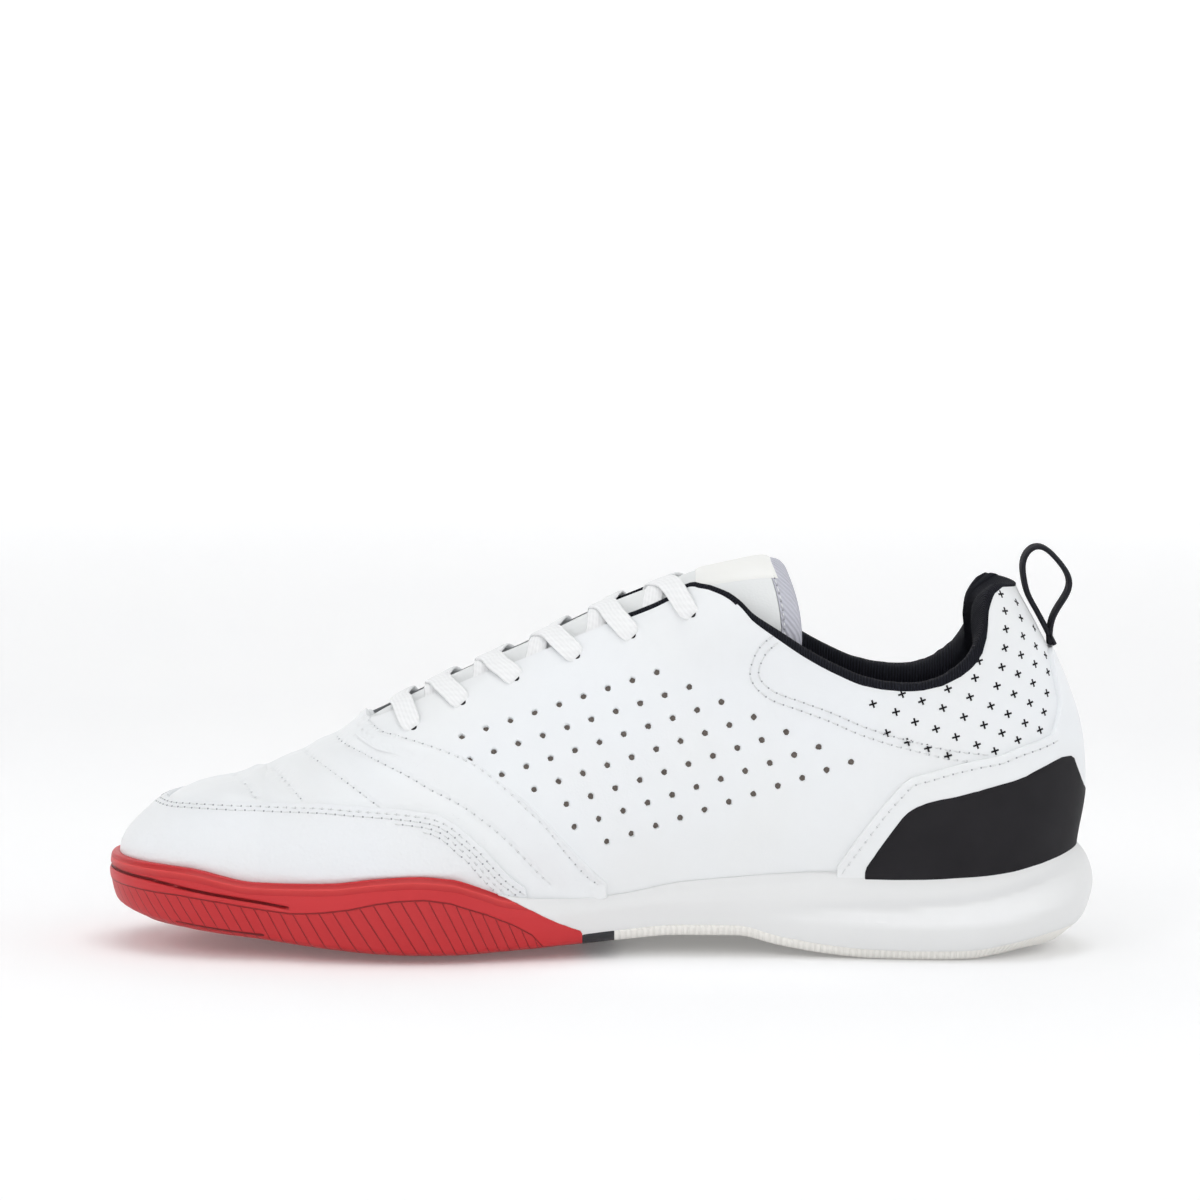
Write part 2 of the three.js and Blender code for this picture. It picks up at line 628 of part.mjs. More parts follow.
function makeHeelCounter() {
  const base = PANEL_STEP + CLEARANCE;
  const wide = widened([onRim(PATCH_FOOT), ...PATCH_EDGE.map(sidePoint)], () => CLEARANCE);
  return upperForm(base + COUNTER_THICKNESS)
    .subtract(upperForm(base, PAST))
    .intersect(sidePrism(downToRim(COUNTER_FOOT, [...COUNTER_EDGE, ...STRIP_EDGE])))
    .subtract(sidePrism([...wide, [wide[wide.length - 1][0], 0], [wide[0][0], 0]]));
}

// Sole: one form, cut along the wing of the forefoot rubber and above the heel rubber
const WING = [
  [-0.150, 0.775], [-0.123, 0.690], [-0.097, 0.585], [-0.070, 0.460], [-0.043, 0.330], [-0.020, 0.245],
];
const WING_END = -0.020;
const BRIDGE_END = 0.012;
function frontRegion(gap) {
  const line = WING.map(([x, z]) => [x * LENGTH + gap, z * SOLE_HEIGHT + gap]);
  return sidePrism([
    [-FAR, -FAR], [-FAR, FAR], [line[0][0], FAR], ...line, [WING_END * LENGTH + gap, -FAR],
  ]);
}

function lowerRegion(lift) {
  return sidePrism([
    [WING_END * LENGTH - PAST, -FAR],
    ...alongSole(sole.edge, WING_END, 0.53, 22, HEEL_RUBBER + lift),
    [0.53 * LENGTH, -FAR],
  ]);
}

// A point of the sole's side, found by share of the perimeter list and height
function sideGroove(list, heightAt, width, depth) {
  const ring = list.map((place) => {
    const x = outlineX(place);
    const z = heightAt(x);
    const surface = soleSidePoint(place, z);
    const out = surface.normal;
    return [[-depth, -width / 2], [1, -width / 2], [1, width / 2], [-depth, width / 2]].map(([d, h]) => (
      new THREE.Vector3(surface.point.x + out.x * d, surface.point.y + out.y * d, z + h)
    ));
  });
  return solidFrom(chainGeometry(ring));
}

// Point and outward plan direction of the sole's side at one height
function soleSidePoint(place, z) {
  const column = soleColumn(place, 0);
  const wide = soleColumn(place, 1);
  let k = 2;
  while (k < 5 && column[k + 1].z < z) k += 1;
  const t = Math.min(1, Math.max(0, (z - column[k].z) / (column[k + 1].z - column[k].z)));
  const point = column[k].clone().lerp(column[k + 1], t);
  const other = wide[k].clone().lerp(wide[k + 1], t);
  const normal = other.sub(point).setZ(0).normalize();
  return { point, normal };
}

// Closed solid through a list of equal closed loops
function chainGeometry(loops) {
  const count = loops[0].length;
  const vertices = [];
  const faces = [];
  loops.forEach((loop) => loop.forEach((p) => vertices.push(p.x, p.y, p.z)));
  for (let i = 0; i < loops.length - 1; i += 1) {
    for (let k = 0; k < count; k += 1) {
      const a = i * count + k;
      const b = i * count + ((k + 1) % count);
      faces.push(a, b, b + count, a, b + count, a + count);
    }
  }
  const last = (loops.length - 1) * count;
  for (let k = 1; k < count - 1; k += 1) {
    faces.push(0, k + 1, k, last, last + k, last + k + 1);
  }
  const geometry = weld(vertices, faces);
  return signedVolume(geometry) < 0 ? flipped(geometry) : geometry;
}

function signedVolume(geometry) {
  const position = geometry.getAttribute('position');
  const index = geometry.getIndex().array;
  const [a, b, c] = [new THREE.Vector3(), new THREE.Vector3(), new THREE.Vector3()];
  let sum = 0;
  for (let i = 0; i < index.length; i += 3) {
    a.fromBufferAttribute(position, index[i]);
    b.fromBufferAttribute(position, index[i + 1]);
    c.fromBufferAttribute(position, index[i + 2]);
    sum += a.dot(b.cross(c)) / 6;
  }
  return sum;
}

function flipped(geometry) {
  const index = Array.from(geometry.getIndex().array);
  for (let i = 0; i < index.length; i += 3) {
    [index[i], index[i + 1]] = [index[i + 1], index[i]];
  }
  geometry.setIndex(index);
  return geometry;
}

// Top of the ribbed field: a line a little below the rim that follows the wing
const RIB_TOP = columns([
  { x: -0.50, z: 0.60 },
  { x: -0.42, z: 0.575 },
  { x: -0.34, z: 0.46 },
  { x: -0.30, z: 0.44 },
  { x: -0.26, z: 0.47 },
  { x: -0.21, z: 0.56 },
  { x: -0.175, z: 0.59 },
  { x: -0.15, z: 0.555 },
  { x: -0.115, z: 0.44 },
  { x: -0.085, z: 0.33 },
  { x: -0.06, z: 0.20 },
]);
const RIB_LEAN = 0.55;         // heelward run of a rib for each millimetre down
const RIB_ENDS = [1.02, 0.03];  // shares of the way from the edge of the tread up to RIB_TOP

// Places spaced along the edge of the forefoot rubber, from one wing to the other
function ribPlaces() {
  const fine = [];
  const dense = (side) => {
    const list = [];
    for (let i = 0; i < 40; i += 1) {
      list.push({ end: 'toe', x: TOE_AXIS, reach: 0.5 + TOE_AXIS, angle: (i / 40) * Math.PI / 2, side });
    }
    for (let i = 0; i <= 120; i += 1) {
      list.push({ end: 'none', x: mix(TOE_AXIS, -0.078, i / 120), reach: 0, angle: Math.PI / 2, side });
    }
    return list;
  };
  for (const side of [-1, 1]) {
    let travelled = RIB_PITCH / 2;
    let previous = null;
    for (const place of dense(side)) {
      const here = placePoint(place, soleWidth(place.x, side), place.reach * LENGTH, 0);
      if (previous) travelled += here.distanceTo(previous);
      previous = here;
      if (travelled >= RIB_PITCH) {
        travelled -= RIB_PITCH;
        fine.push(place);
      }
    }
  }
  return fine;
}

function ribGroove(place) {
  const x = outlineX(place);
  const top = RIB_TOP.z(x) * SOLE_HEIGHT;
  const low = sole.edge(x) * SOLE_HEIGHT;
  const loops = RIB_ENDS.map((share) => {
    const z = mix(low, top, share);
    const { point, normal } = soleSidePoint(place, z);
    const along = new THREE.Vector3(-normal.y, normal.x, 0).multiplyScalar(place.side);
    point.addScaledVector(along, -(top - z) * RIB_LEAN);
    return [[0, -RIB_DEPTH], [1, 0.5], [-1, 0.5]].map(([s, d]) => (
      point.clone().addScaledVector(along, s * RIB_GROOVE / 2).addScaledVector(normal, d).setZ(z)
    ));
  });
  return solidFrom(chainGeometry(loops));
}

function lipGroove() {
  const medial = places(-1).filter((place) => outlineX(place) < -0.30);
  const lateral = places(1).filter((place) => outlineX(place) < -0.30);
  const list = [...medial.reverse(), ...lateral.slice(1)];
  const height = (x) => mix(0.67, 0.50, smooth((x + 0.5) / 0.2)) * SOLE_HEIGHT;
  return sideGroove(list, height, LIP_GROOVE, LIP_GROOVE_DEPTH);
}

function makeSole() {
  const cavity = upperForm(CLEARANCE, CLEARANCE);
  const whole = soleForm(0).subtract(cavity);
  const ribs = joinAll(ribPlaces().map(ribGroove));
  const front = whole.intersect(frontRegion(0))
    .subtract(ribs)
    .subtract(lipGroove());
  const rear = whole.subtract(frontRegion(CLEARANCE));
  const middle = sidePrism([
    [(WING_END - 0.05) * LENGTH, -FAR], [(WING_END - 0.05) * LENGTH, FAR],
    [BRIDGE_END * LENGTH, FAR], [BRIDGE_END * LENGTH, -FAR],
  ]);
  const heelStart = BRIDGE_END * LENGTH + CLEARANCE;
  const heelSide = sidePrism([[heelStart, -FAR], [heelStart, FAR], [FAR, FAR], [FAR, -FAR]]);
  const low = rear.intersect(lowerRegion(0));
  return {
    front,
    midsole: rear.subtract(lowerRegion(CLEARANCE)),
    bridge: low.intersect(middle),
    heel: low.intersect(heelSide),
  };
}

function makeInsole() {
  const top = alongSole(sole.bed, -0.5, 0.5, 24, INSOLE_THICKNESS);
  const end = top[top.length - 1][1];
  const slab = sidePrism([[-FAR, -FAR], [-FAR, top[0][1]], ...top, [FAR, end], [FAR, -FAR]]);
  return upperForm(-WALL - CLEARANCE).intersect(slab);
}

// Collar lining: inside the wall, and rolled over its edge
const LINING_START = 0.122;
const firstLined = COLLAR.findIndex(({ x }) => x > LINING_START);
const lastRolled = COLLAR.findLastIndex(({ roll }) => roll * LINING_ROLL > 2 * CLEARANCE) + 1;
function liningBand(drop, last = COLLAR.length) {
  const high = widened(collarLine, (i) => LINING_ROLL * COLLAR[i].roll).slice(firstLined, last);
  const low = collarLine.slice(firstLined, last).map(([x, z]) => [x, z - drop]).reverse();
  return sidePrism([...high, ...low]);
}

function liningThickness(p) {
  const heel = smooth((p.x / LENGTH - 0.29) / 0.13);
  return mix(LINING_THICKNESS, HEEL_PADDING, heel);
}

function makeLining() {
  const inner = upperForm((p) => -WALL - CLEARANCE - liningThickness(p), INSIDE_DROP);
  const inside = upperForm(-WALL - CLEARANCE, 2 * PAST).subtract(inner);
  const over = upperForm(PANEL_STEP - CLEARANCE / 3, 2 * PAST).subtract(inner);
  return inside.intersect(liningBand(LINING_DEPTH))
    .add(over.intersect(liningBand(-CLEARANCE, lastRolled)));
}

// Tongue: under the lace edges it follows the upper, above them it stands as an arch
const TONGUE = [
  { x: -0.262, half: 0.56, ridge: 0.60, edge: 0.55 },
  { x: -0.16, half: 0.78, ridge: 0.755, edge: 0.66 },
  { x: -0.08, half: 0.90, ridge: 0.85, edge: 0.74 },
  { x: 0.00, half: 0.94, ridge: 0.930, edge: 0.80 },
  { x: 0.055, half: 0.94, ridge: 0.978, edge: 0.82 },
  { x: 0.085, half: 0.92, ridge: 1.005, edge: 0.83 },
  { x: 0.125, half: 0.90, ridge: 1.041, edge: 0.82 },
  { x: 0.160, half: 0.90, ridge: 1.070, edge: 0.81 },
  { x: 0.180, half: 0.90, ridge: 1.062, edge: 0.80 },
];
const tongueTable = columns(TONGUE);
const TONGUE_START = -0.262;
const TONGUE_END = 0.180;
const TONGUE_ROWS = 16;
const TONGUE_ACROSS = 8;
const TONGUE_LEAN = 0.28;      // heelward run of the end for each millimetre down

// Height of the outside of the upper at a plan position between the two round ends
const stationColumns = [-1, 1].map((side) => (
  places(side).filter((place) => place.end === 'none').map(upperColumn)
));
const WIDEST_ROW = 4;
function upperHeight(x, y) {
  const columnsHere = stationColumns[y < spineY(x) ? 0 : 1];
  const s = (x - TOE_AXIS) / (HEEL_AXIS - TOE_AXIS) * STATIONS;
  const i = Math.min(STATIONS - 1, Math.max(0, Math.floor(s)));
  const section = columnsHere[i].map((p, k) => p.clone().lerp(columnsHere[i + 1][k], s - i));
  const centre = section[section.length - 1].y;
  const width = Math.abs(y - centre);
  for (let k = section.length - 1; k > WIDEST_ROW; k -= 1) {
    const w0 = Math.abs(section[k].y - centre);
    const w1 = Math.abs(section[k - 1].y - centre);
    if (width >= w0 && width <= w1) return mix(section[k].z, section[k - 1].z, (width - w0) / (w1 - w0));
  }
  return section[WIDEST_ROW].z;
}

// Outward slope factor of the upper at a plan position
function upperSlant(x, y) {
  const step = 1;
  const away = (upperHeight(x, y + step) - upperHeight(x, y - step)) / (2 * step);
  const along = (upperHeight(x + step / LENGTH, y) - upperHeight(x - step / LENGTH, y)) / (2 * step);
  return Math.hypot(1, away, along);
}

function tonguePoint(x, v, sink) {
  const half = tongueTable.half(x) * TONGUE_WIDTH / 2;
  const ridge = bedZ(x) + tongueTable.ridge(x) * UPPER_HEIGHT;
  const edge = bedZ(x) + tongueTable.edge(x) * UPPER_HEIGHT;
  const free = smooth((x - 0.045) / 0.06);
  const flatY = v * half;
  const archY = Math.sin(v * Math.PI * 0.47) * half;
  const y = spineY(x) + mix(flatY, archY, free);
  const lie = x < 0.10 ? upperHeight(x, spineY(x) + flatY)
    - (WALL + CLEARANCE + 0.2 + sink) * Math.min(1.6, upperSlant(x, spineY(x) + flatY)) : 0;
  const arch = mix(ridge, edge, 1 - Math.cos(v * Math.PI * 0.47)) - sink;
  const z = mix(lie, arch, free);
  const endShare = smooth((x - 0.10) / 0.08);
  return new THREE.Vector3(x * LENGTH + endShare * TONGUE_LEAN * (ridge - z) * (1 - sink / 40), y, z);
}

// A curved plate between an outer and an inner grid of points
function plateGeometry(rows, across, outer, inner) {
  const loops = [];
  for (let i = 0; i <= rows; i += 1) {
    const loop = [];
    for (let k = 0; k <= across; k += 1) loop.push(outer(i / rows, k / across));
    for (let k = across; k >= 0; k -= 1) loop.push(inner(i / rows, k / across));
    loops.push(loop);
  }
  const count = loops[0].length;
  const vertices = [];
  const faces = [];
  loops.forEach((loop) => loop.forEach((p) => vertices.push(p.x, p.y, p.z)));
  for (let i = 0; i < rows; i += 1) {
    for (let k = 0; k < count; k += 1) {
      const a = i * count + k;
      const b = i * count + ((k + 1) % count);
      faces.push(a, b, b + count, a, b + count, a + count);
    }
  }
  const last = rows * count;
  for (let k = 0; k < across; k += 1) {
    const [a, b, c, d] = [k, k + 1, count - 2 - k, count - 1 - k];
    faces.push(a, c, b, a, d, c);
    faces.push(last + a, last + b, last + c, last + a, last + c, last + d);
  }
  const geometry = weld(vertices, faces);
  return signedVolume(geometry) < 0 ? flipped(geometry) : geometry;
}

// Room that the collar lining takes, with a clearance, for cutting the tongue
function liningRoom() {
  const inner = upperForm((p) => -WALL - 2 * CLEARANCE - liningThickness(p), INSIDE_DROP);
  const low = collarLine.slice(firstLined).map(([x, z]) => [x, z - LINING_DEPTH - CLEARANCE]);
  const above = sidePrism([[low[0][0], FAR], ...low, [FAR, FAR]]);
  return upperForm(3 * PAST, INSIDE_DROP).subtract(inner).intersect(above);
}

function makeTongue() {
  const span = (u) => mix(TONGUE_START, TONGUE_END, u);
  const plate = (sink) => (u, s) => tonguePoint(span(u), s * 2 - 1, sink);
  const solid = solidFrom(plateGeometry(TONGUE_ROWS, TONGUE_ACROSS, plate(0), plate(TONGUE_THICKNESS)));
  return solid.intersect(upperForm(-WALL - CLEARANCE, INSIDE_DROP)).subtract(liningRoom());
}

// Folded band over the end of the tongue
function makeTongueBand() {
  const span = (u) => mix(0.090, 0.168, u);
  const reach = 0.46;
  const plate = (sink) => (u, s) => tonguePoint(span(u), (s * 2 - 1) * reach, sink);
  return solidFrom(plateGeometry(6, 6, plate(-2 * CLEARANCE - BAND_THICKNESS), plate(-2 * CLEARANCE)));
}

// Lace holes of one side: shares of LENGTH
const EYELETS = [-0.196, -0.146, -0.092, -0.032, 0.027, 0.087];
function eyelet(i, side) {
  const x = EYELETS[i];
  const y = spineY(x) + side * (THROAT.half(x) * HALF_WIDTH + EYELET_SETBACK);
  return { x, y };
}

// A flat lace along a list of points, its width lying along the slope of the upper below it
const LACE_STEPS = 10;
function laceStrand(points) {
  const path = new THREE.CatmullRomCurve3(points);
  const loops = [];
  for (let i = 0; i <= LACE_STEPS; i += 1) {
    const p = path.getPoint(i / LACE_STEPS);
    const along = path.getTangent(i / LACE_STEPS);
    const heightAt = (x) => upperHeight(x / LENGTH, p.y);
    const rise = heightAt(p.x + LACE_WIDTH / 2) - heightAt(p.x - LACE_WIDTH / 2);
    const flat = new THREE.Vector3(LACE_WIDTH, 0, rise).normalize();
    const wide = flat.sub(along.clone().multiplyScalar(flat.dot(along))).normalize();
    const up = new THREE.Vector3().crossVectors(wide, along).normalize();
    loops.push([[-1, -1], [1, -1], [1, 1], [-1, 1]].map(([a, b]) => p.clone()
      .addScaledVector(wide, a * LACE_WIDTH / 2)
      .addScaledVector(up, b * LACE_THICKNESS / 2)));
  }
  return solidFrom(chainGeometry(loops));
}

// Point above the outside of the upper
function above(x, y, lift) {
  return new THREE.Vector3(x * LENGTH, y, upperHeight(x, y) + lift * upperSlant(x, y));
}

const LACE_LIFT = PANEL_STEP + CLEARANCE + LACE_THICKNESS / 2 + 0.1;
const LACE_DIP = -0.6;         // lace between the lace edges, against the upper's own form
const LACE_START = 4.6;        // a crossing starts this far inside the lace edge
function crossing(i) {
  const strand = (side) => {
    const low = eyelet(i, -side);
    const high = eyelet(i + 1, side);
    const lowEdge = {
      x: low.x + 0.020,
      y: spineY(low.x) - side * (THROAT.half(low.x) * HALF_WIDTH - LACE_START),
    };
    const highEdge = { x: high.x - 0.012, y: spineY(high.x) + side * THROAT.half(high.x) * HALF_WIDTH };
    const mid = { x: (low.x + high.x) / 2, y: spineY((low.x + high.x) / 2) };
    return laceStrand([
      above(lowEdge.x, lowEdge.y, LACE_DIP),
      above(mix(lowEdge.x, mid.x, 0.5), mix(lowEdge.y, mid.y, 0.5), LACE_DIP),
      above(mid.x, mid.y, LACE_DIP),
      above(highEdge.x, highEdge.y, LACE_LIFT + 0.2),
      above(mix(highEdge.x, high.x, 0.5), mix(highEdge.y, high.y, 0.5), LACE_LIFT + 0.2),
      above(high.x, high.y, LACE_LIFT),
    ]);
  };
  return strand(-1).add(strand(1));
}

function bottomBar() {
  const near = eyelet(0, -1);
  const far = eyelet(0, 1);
  const centre = spineY(near.x);
  const half = THROAT.half(near.x) * HALF_WIDTH;
  return laceStrand([
    above(near.x, near.y, LACE_LIFT),
    above(near.x - 0.006, centre - half, LACE_LIFT + 0.2),
    above(near.x - 0.008, centre, LACE_DIP + 0.6),
    above(far.x - 0.006, centre + half, LACE_LIFT + 0.2),
    above(far.x, far.y, LACE_LIFT),
  ]);
}

// Pull loop: a folded strap that stands behind the collar, its back leg lying on the heel
const LOOP_ROUTE = [
  [0.4518, 0.782], [0.4512, 0.812], [0.453, 0.862], [0.4595, 0.903], [0.4675, 0.940], [0.4715, 0.978],
  [0.4685, 1.010], [0.4585, 1.052], [0.4470, 1.088], [0.4385, 1.101], [0.4310, 1.097], [0.4255, 1.075],
  [0.4220, 1.040], [0.4230, 1.008],
];
function strap(points) {
  const path = new THREE.CatmullRomCurve3(points);
  const steps = Math.max(5, Math.round(path.getLength() / 2.6));
  const loops = [];
  for (let i = 0; i <= steps; i += 1) {
    const p = path.getPoint(i / steps);
    const t = path.getTangent(i / steps);
    const out = new THREE.Vector3(t.z, 0, -t.x).multiplyScalar(LOOP_THICKNESS / 2);
    loops.push([[-1, -1], [1, -1], [1, 1], [-1, 1]].map(([a, b]) => p.clone()
      .addScaledVector(out, a)
      .add(new THREE.Vector3(0, b * LOOP_WIDTH / 2, 0))));
  }
  return solidFrom(chainGeometry(loops));
}

function makePullLoop() {
  const foot = bedZ(0.5);
  const standing = LOOP_ROUTE.map(([x, z]) => new THREE.Vector3(x * LENGTH, 0, foot + z * UPPER_HEIGHT));
  const lift = PANEL_STEP + CLEARANCE + LOOP_THICKNESS / 2 + 0.2;
  const lying = [];
  for (let i = 0; i <= 5; i += 1) {
    const z = mix(standing[standing.length - 1].z - LOOP_THICKNESS, standing[0].z, i / 5);
    lying.push(new THREE.Vector3(heelX(z) + lift * 1.25, 0, z));
  }
  const ends = [standing[standing.length - 1], ...lying, standing[0]];
  return strap(standing).add(strap(ends));
}

// Rear of the upper at one height, on the centre line
function heelX(z) {
  const column = upperColumn({ end: 'heel', x: HEEL_AXIS, reach: 0.5 - HEEL_AXIS, angle: 0, side: -1 });
  for (let i = 3; i < column.length - 1; i += 1) {
    if (z >= column[i].z && z <= column[i + 1].z) {
      return mix(column[i].x, column[i + 1].x, (z - column[i].z) / (column[i + 1].z - column[i].z));
    }
  }
  return column[3].x;
}

// Finish of each piece
const FINISHES = {
  leather: { color: 0xeef1f4, roughness: 0.5 },
  grained: { color: 0xe9ecef, roughness: 0.6 },
  foam: { color: 0xe6e6e4, roughness: 0.7 },
  red: { color: 0xcb3a40, roughness: 0.45 },
  cream: { color: 0xe1ded7, roughness: 0.7 },
  black: { color: 0x37343a, roughness: 0.75 },
  textile: { color: 0x12141e, roughness: 0.9 },
  lace: { color: 0xf5f5f3, roughness: 0.85 },
};

const group = new THREE.Group();
function put(name, solid, finish) {
  const material = new THREE.MeshStandardMaterial({ ...FINISHES[finish], metalness: 0 });
  const mesh = new THREE.Mesh(geometryFrom(solid), material);
  mesh.name = name;
  group.add(mesh);
}

const soleParts = makeSole();
put('forefoot_outsole', soleParts.front, 'red');
put('midsole', soleParts.midsole, 'foam');
put('arch_bridge', soleParts.bridge, 'black');
put('heel_outsole', soleParts.heel, 'cream');
put('insole', makeInsole(), 'textile');
put('upper', makeUpper(), 'leather');
put('toe_guard', makeToeGuard(), 'grained');
put('heel_counter', makeHeelCounter(), 'leather');
put('heel_patch', makeHeelPatch(), 'black');
put('collar_lining', makeLining(), 'textile');
put('tongue', makeTongue(), 'leather');
put('tongue_band', makeTongueBand(), 'leather');
put('lace_bar', bottomBar(), 'lace');
for (let i = 0; i < EYELETS.length - 1; i += 1) put(`lace_crossing_${i + 1}`, crossing(i), 'lace');
put('pull_loop', makePullLoop(), 'textile');

export default group;
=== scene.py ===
"""A right indoor football shoe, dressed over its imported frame.

Shapes are worked out in millimetres and made in metres.
Toe towards -X, heel towards +X, medial side towards -Y, floor at z = 0.
"""

import math
from collections import namedtuple

import bmesh
import bpy
import numpy as np
from mathutils import Matrix, Vector
from mathutils.bvhtree import BVHTree


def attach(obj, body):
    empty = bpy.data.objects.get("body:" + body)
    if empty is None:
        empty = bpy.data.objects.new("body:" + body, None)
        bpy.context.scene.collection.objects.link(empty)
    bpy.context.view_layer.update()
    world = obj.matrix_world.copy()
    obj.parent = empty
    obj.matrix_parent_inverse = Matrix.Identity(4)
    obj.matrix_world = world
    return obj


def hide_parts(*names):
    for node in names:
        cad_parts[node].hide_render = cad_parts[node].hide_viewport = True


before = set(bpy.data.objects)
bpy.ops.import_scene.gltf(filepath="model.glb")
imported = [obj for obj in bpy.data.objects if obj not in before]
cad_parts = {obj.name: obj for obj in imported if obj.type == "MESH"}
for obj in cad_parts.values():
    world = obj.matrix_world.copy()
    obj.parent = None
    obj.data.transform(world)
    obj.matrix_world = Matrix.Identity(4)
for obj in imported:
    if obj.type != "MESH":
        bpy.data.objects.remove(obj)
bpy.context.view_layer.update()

MM = 0.001
FAR = 400.0

# Camera, placed as the photograph sees the shoe
FRAME_SIZE = 1200           # the photograph's width and height
EYE_DISTANCE = 1500.0
EYE_TARGET = Vector((0, 0, 60))
EYE_TILT = math.radians(6.8)
EYE_ROLL = math.radians(0.56)
LENS = 151.336
SENSOR = 36.0
SHIFT = (-0.00312, 0.11737)


def eye_axes():
    """The camera's right, up and forward directions."""
    forward = Vector((0, math.cos(EYE_TILT), -math.sin(EYE_TILT)))
    level = Vector((1, 0, 0))
    upright = Vector((0, math.sin(EYE_TILT), math.cos(EYE_TILT)))
    right = level * math.cos(EYE_ROLL) + upright * math.sin(EYE_ROLL)
    up = upright * math.cos(EYE_ROLL) - level * math.sin(EYE_ROLL)
    return right, up, forward


def make_camera():
    right, up, forward = eye_axes()
    data = bpy.data.cameras.new("camera")
    data.lens, data.sensor_width = LENS, SENSOR
    data.shift_x, data.shift_y = SHIFT
    data.clip_start, data.clip_end = 0.05, 50
    camera = bpy.data.objects.new("camera", data)
    bpy.context.scene.collection.objects.link(camera)
    turn = Matrix((right, up, -forward)).transposed().to_4x4()
    camera.matrix_world = Matrix.Translation((EYE_TARGET - forward * EYE_DISTANCE) * MM) @ turn
    bpy.context.scene.camera = camera


def sight(pixel):
    """Ray from the camera through a place in the photograph's frame, in millimetres."""
    right, up, forward = eye_axes()
    focal = LENS / SENSOR * FRAME_SIZE
    across = pixel[0] - FRAME_SIZE * (0.5 - SHIFT[0])
    above = FRAME_SIZE * (0.5 + SHIFT[1]) - pixel[1]
    way = (forward + right * (across / focal) + up * (above / focal)).normalized()
    return EYE_TARGET - forward * EYE_DISTANCE, way


# The form of the shoe, from the same sizes as the part
LENGTH, HALF_WIDTH, SOLE_HEIGHT, UPPER_HEIGHT = 292.0, 53.0, 33.0, 92.0
WALL, CLEARANCE, PANEL_STEP = 2.0, 0.3, 0.7
TOE_AXIS, HEEL_AXIS, TOE_BIAS = -0.34, 0.355, -0.13
ROUNDNESS, TUCK = 2.1, 0.028

# Smaller sizes, in millimetres
GUARD_THICKNESS, COUNTER_THICKNESS, PATCH_THICKNESS = 1.0, 1.1, 1.35
HOLE_RADIUS = 1.2              # punched holes, before their edges turn in
SIDE_PADDING, HEEL_PADDING = 3.0, 9.0
FRONT_RIB_PITCH, HEEL_RIB_PITCH = 4.0, 1.7
TAPE_START = 0.161             # of LENGTH, where the tongue's tape begins


def curve(places_along, values):
    """A smooth curve through a table's column, without overshoot."""
    xs, ys = list(places_along), list(values)
    last = len(xs) - 1
    steps = [(ys[i + 1] - ys[i]) / (xs[i + 1] - xs[i]) for i in range(last)]
    slopes = [steps[0]]
    for before, after in zip(steps, steps[1:]):
        slopes.append(0.0 if before * after <= 0 else 2 * before * after / (before + after))
    slopes.append(steps[-1])

    def at(x):
        if x <= xs[0]:
            return ys[0]
        if x >= xs[last]:
            return ys[last]
        i = next(k for k in range(last) if xs[k + 1] > x)
        span = xs[i + 1] - xs[i]
        t = (x - xs[i]) / span
        rise = t * t * (3 - 2 * t)
        lead, tail = t * (1 - t) ** 2 * slopes[i], t * t * (1 - t) * slopes[i + 1]
        return ys[i] * (1 - rise) + ys[i + 1] * rise + span * (lead - tail)

    return at


def table(names, *rows):
    """Smooth curves through a table's columns, by name. The first column is x along LENGTH."""
    columns = list(zip(*rows))
    return {name: curve(columns[0], column) for name, column in zip(names.split(), columns)}


# Sole: half widths and insets of HALF_WIDTH, heights of SOLE_HEIGHT
sole = table(
    "x low edge inset side rim rim_in lip bed",
    (-0.50, 0.235, 0.37, 0.06, 0.64, 0.825, 0.012, 0.064, 0.51),
    (-0.42, 0.17, 0.25, 0.075, 0.58, 0.80, 0.015, 0.058, 0.42),
    (-0.34, 0.095, 0.175, 0.085, 0.48, 0.69, 0.017, 0.055, 0.33),
    (-0.27, 0.03, 0.115, 0.085, 0.42, 0.71, 0.019, 0.053, 0.29),
    (-0.22, 0, 0.085, 0.085, 0.42, 0.765, 0.019, 0.051, 0.28),
    (-0.185, 0, 0.075, 0.085, 0.42, 0.785, 0.019, 0.051, 0.27),
    (-0.15, 0, 0.072, 0.085, 0.41, 0.76, 0.019, 0.049, 0.27),
    (-0.12, 0, 0.08, 0.085, 0.40, 0.68, 0.019, 0.045, 0.28),
    (-0.095, 0.02, 0.09, 0.085, 0.39, 0.60, 0.019, 0.042, 0.29),
    (-0.06, 0.045, 0.105, 0.09, 0.38, 0.56, 0.023, 0.034, 0.32),
    (-0.02, 0.085, 0.135, 0.09, 0.40, 0.55, 0.028, 0.028, 0.36),
    (0.02, 0.125, 0.165, 0.09, 0.43, 0.58, 0.030, 0.026, 0.40),
    (0.08, 0.17, 0.20, 0.09, 0.47, 0.68, 0.034, 0.023, 0.46),
    (0.135, 0.17, 0.20, 0.09, 0.48, 0.725, 0.042, 0.023, 0.50),
    (0.175, 0.10, 0.125, 0.09, 0.48, 0.76, 0.050, 0.023, 0.52),
    (0.22, 0.035, 0.062, 0.09, 0.48, 0.79, 0.056, 0.023, 0.53),
    (0.27, 0, 0.026, 0.095, 0.48, 0.80, 0.062, 0.023, 0.54),
    (0.32, 0, 0.02, 0.095, 0.48, 0.805, 0.068, 0.023, 0.545),
    (0.37, 0, 0.03, 0.105, 0.50, 0.835, 0.075, 0.023, 0.55),
    (0.41, 0.03, 0.085, 0.115, 0.52, 0.88, 0.083, 0.023, 0.55),
    (0.455, 0.08, 0.155, 0.125, 0.55, 0.96, 0.094, 0.023, 0.56),
    (0.50, 0.10, 0.18, 0.13, 0.60, 1.00, 0.106, 0.023, 0.56),
)
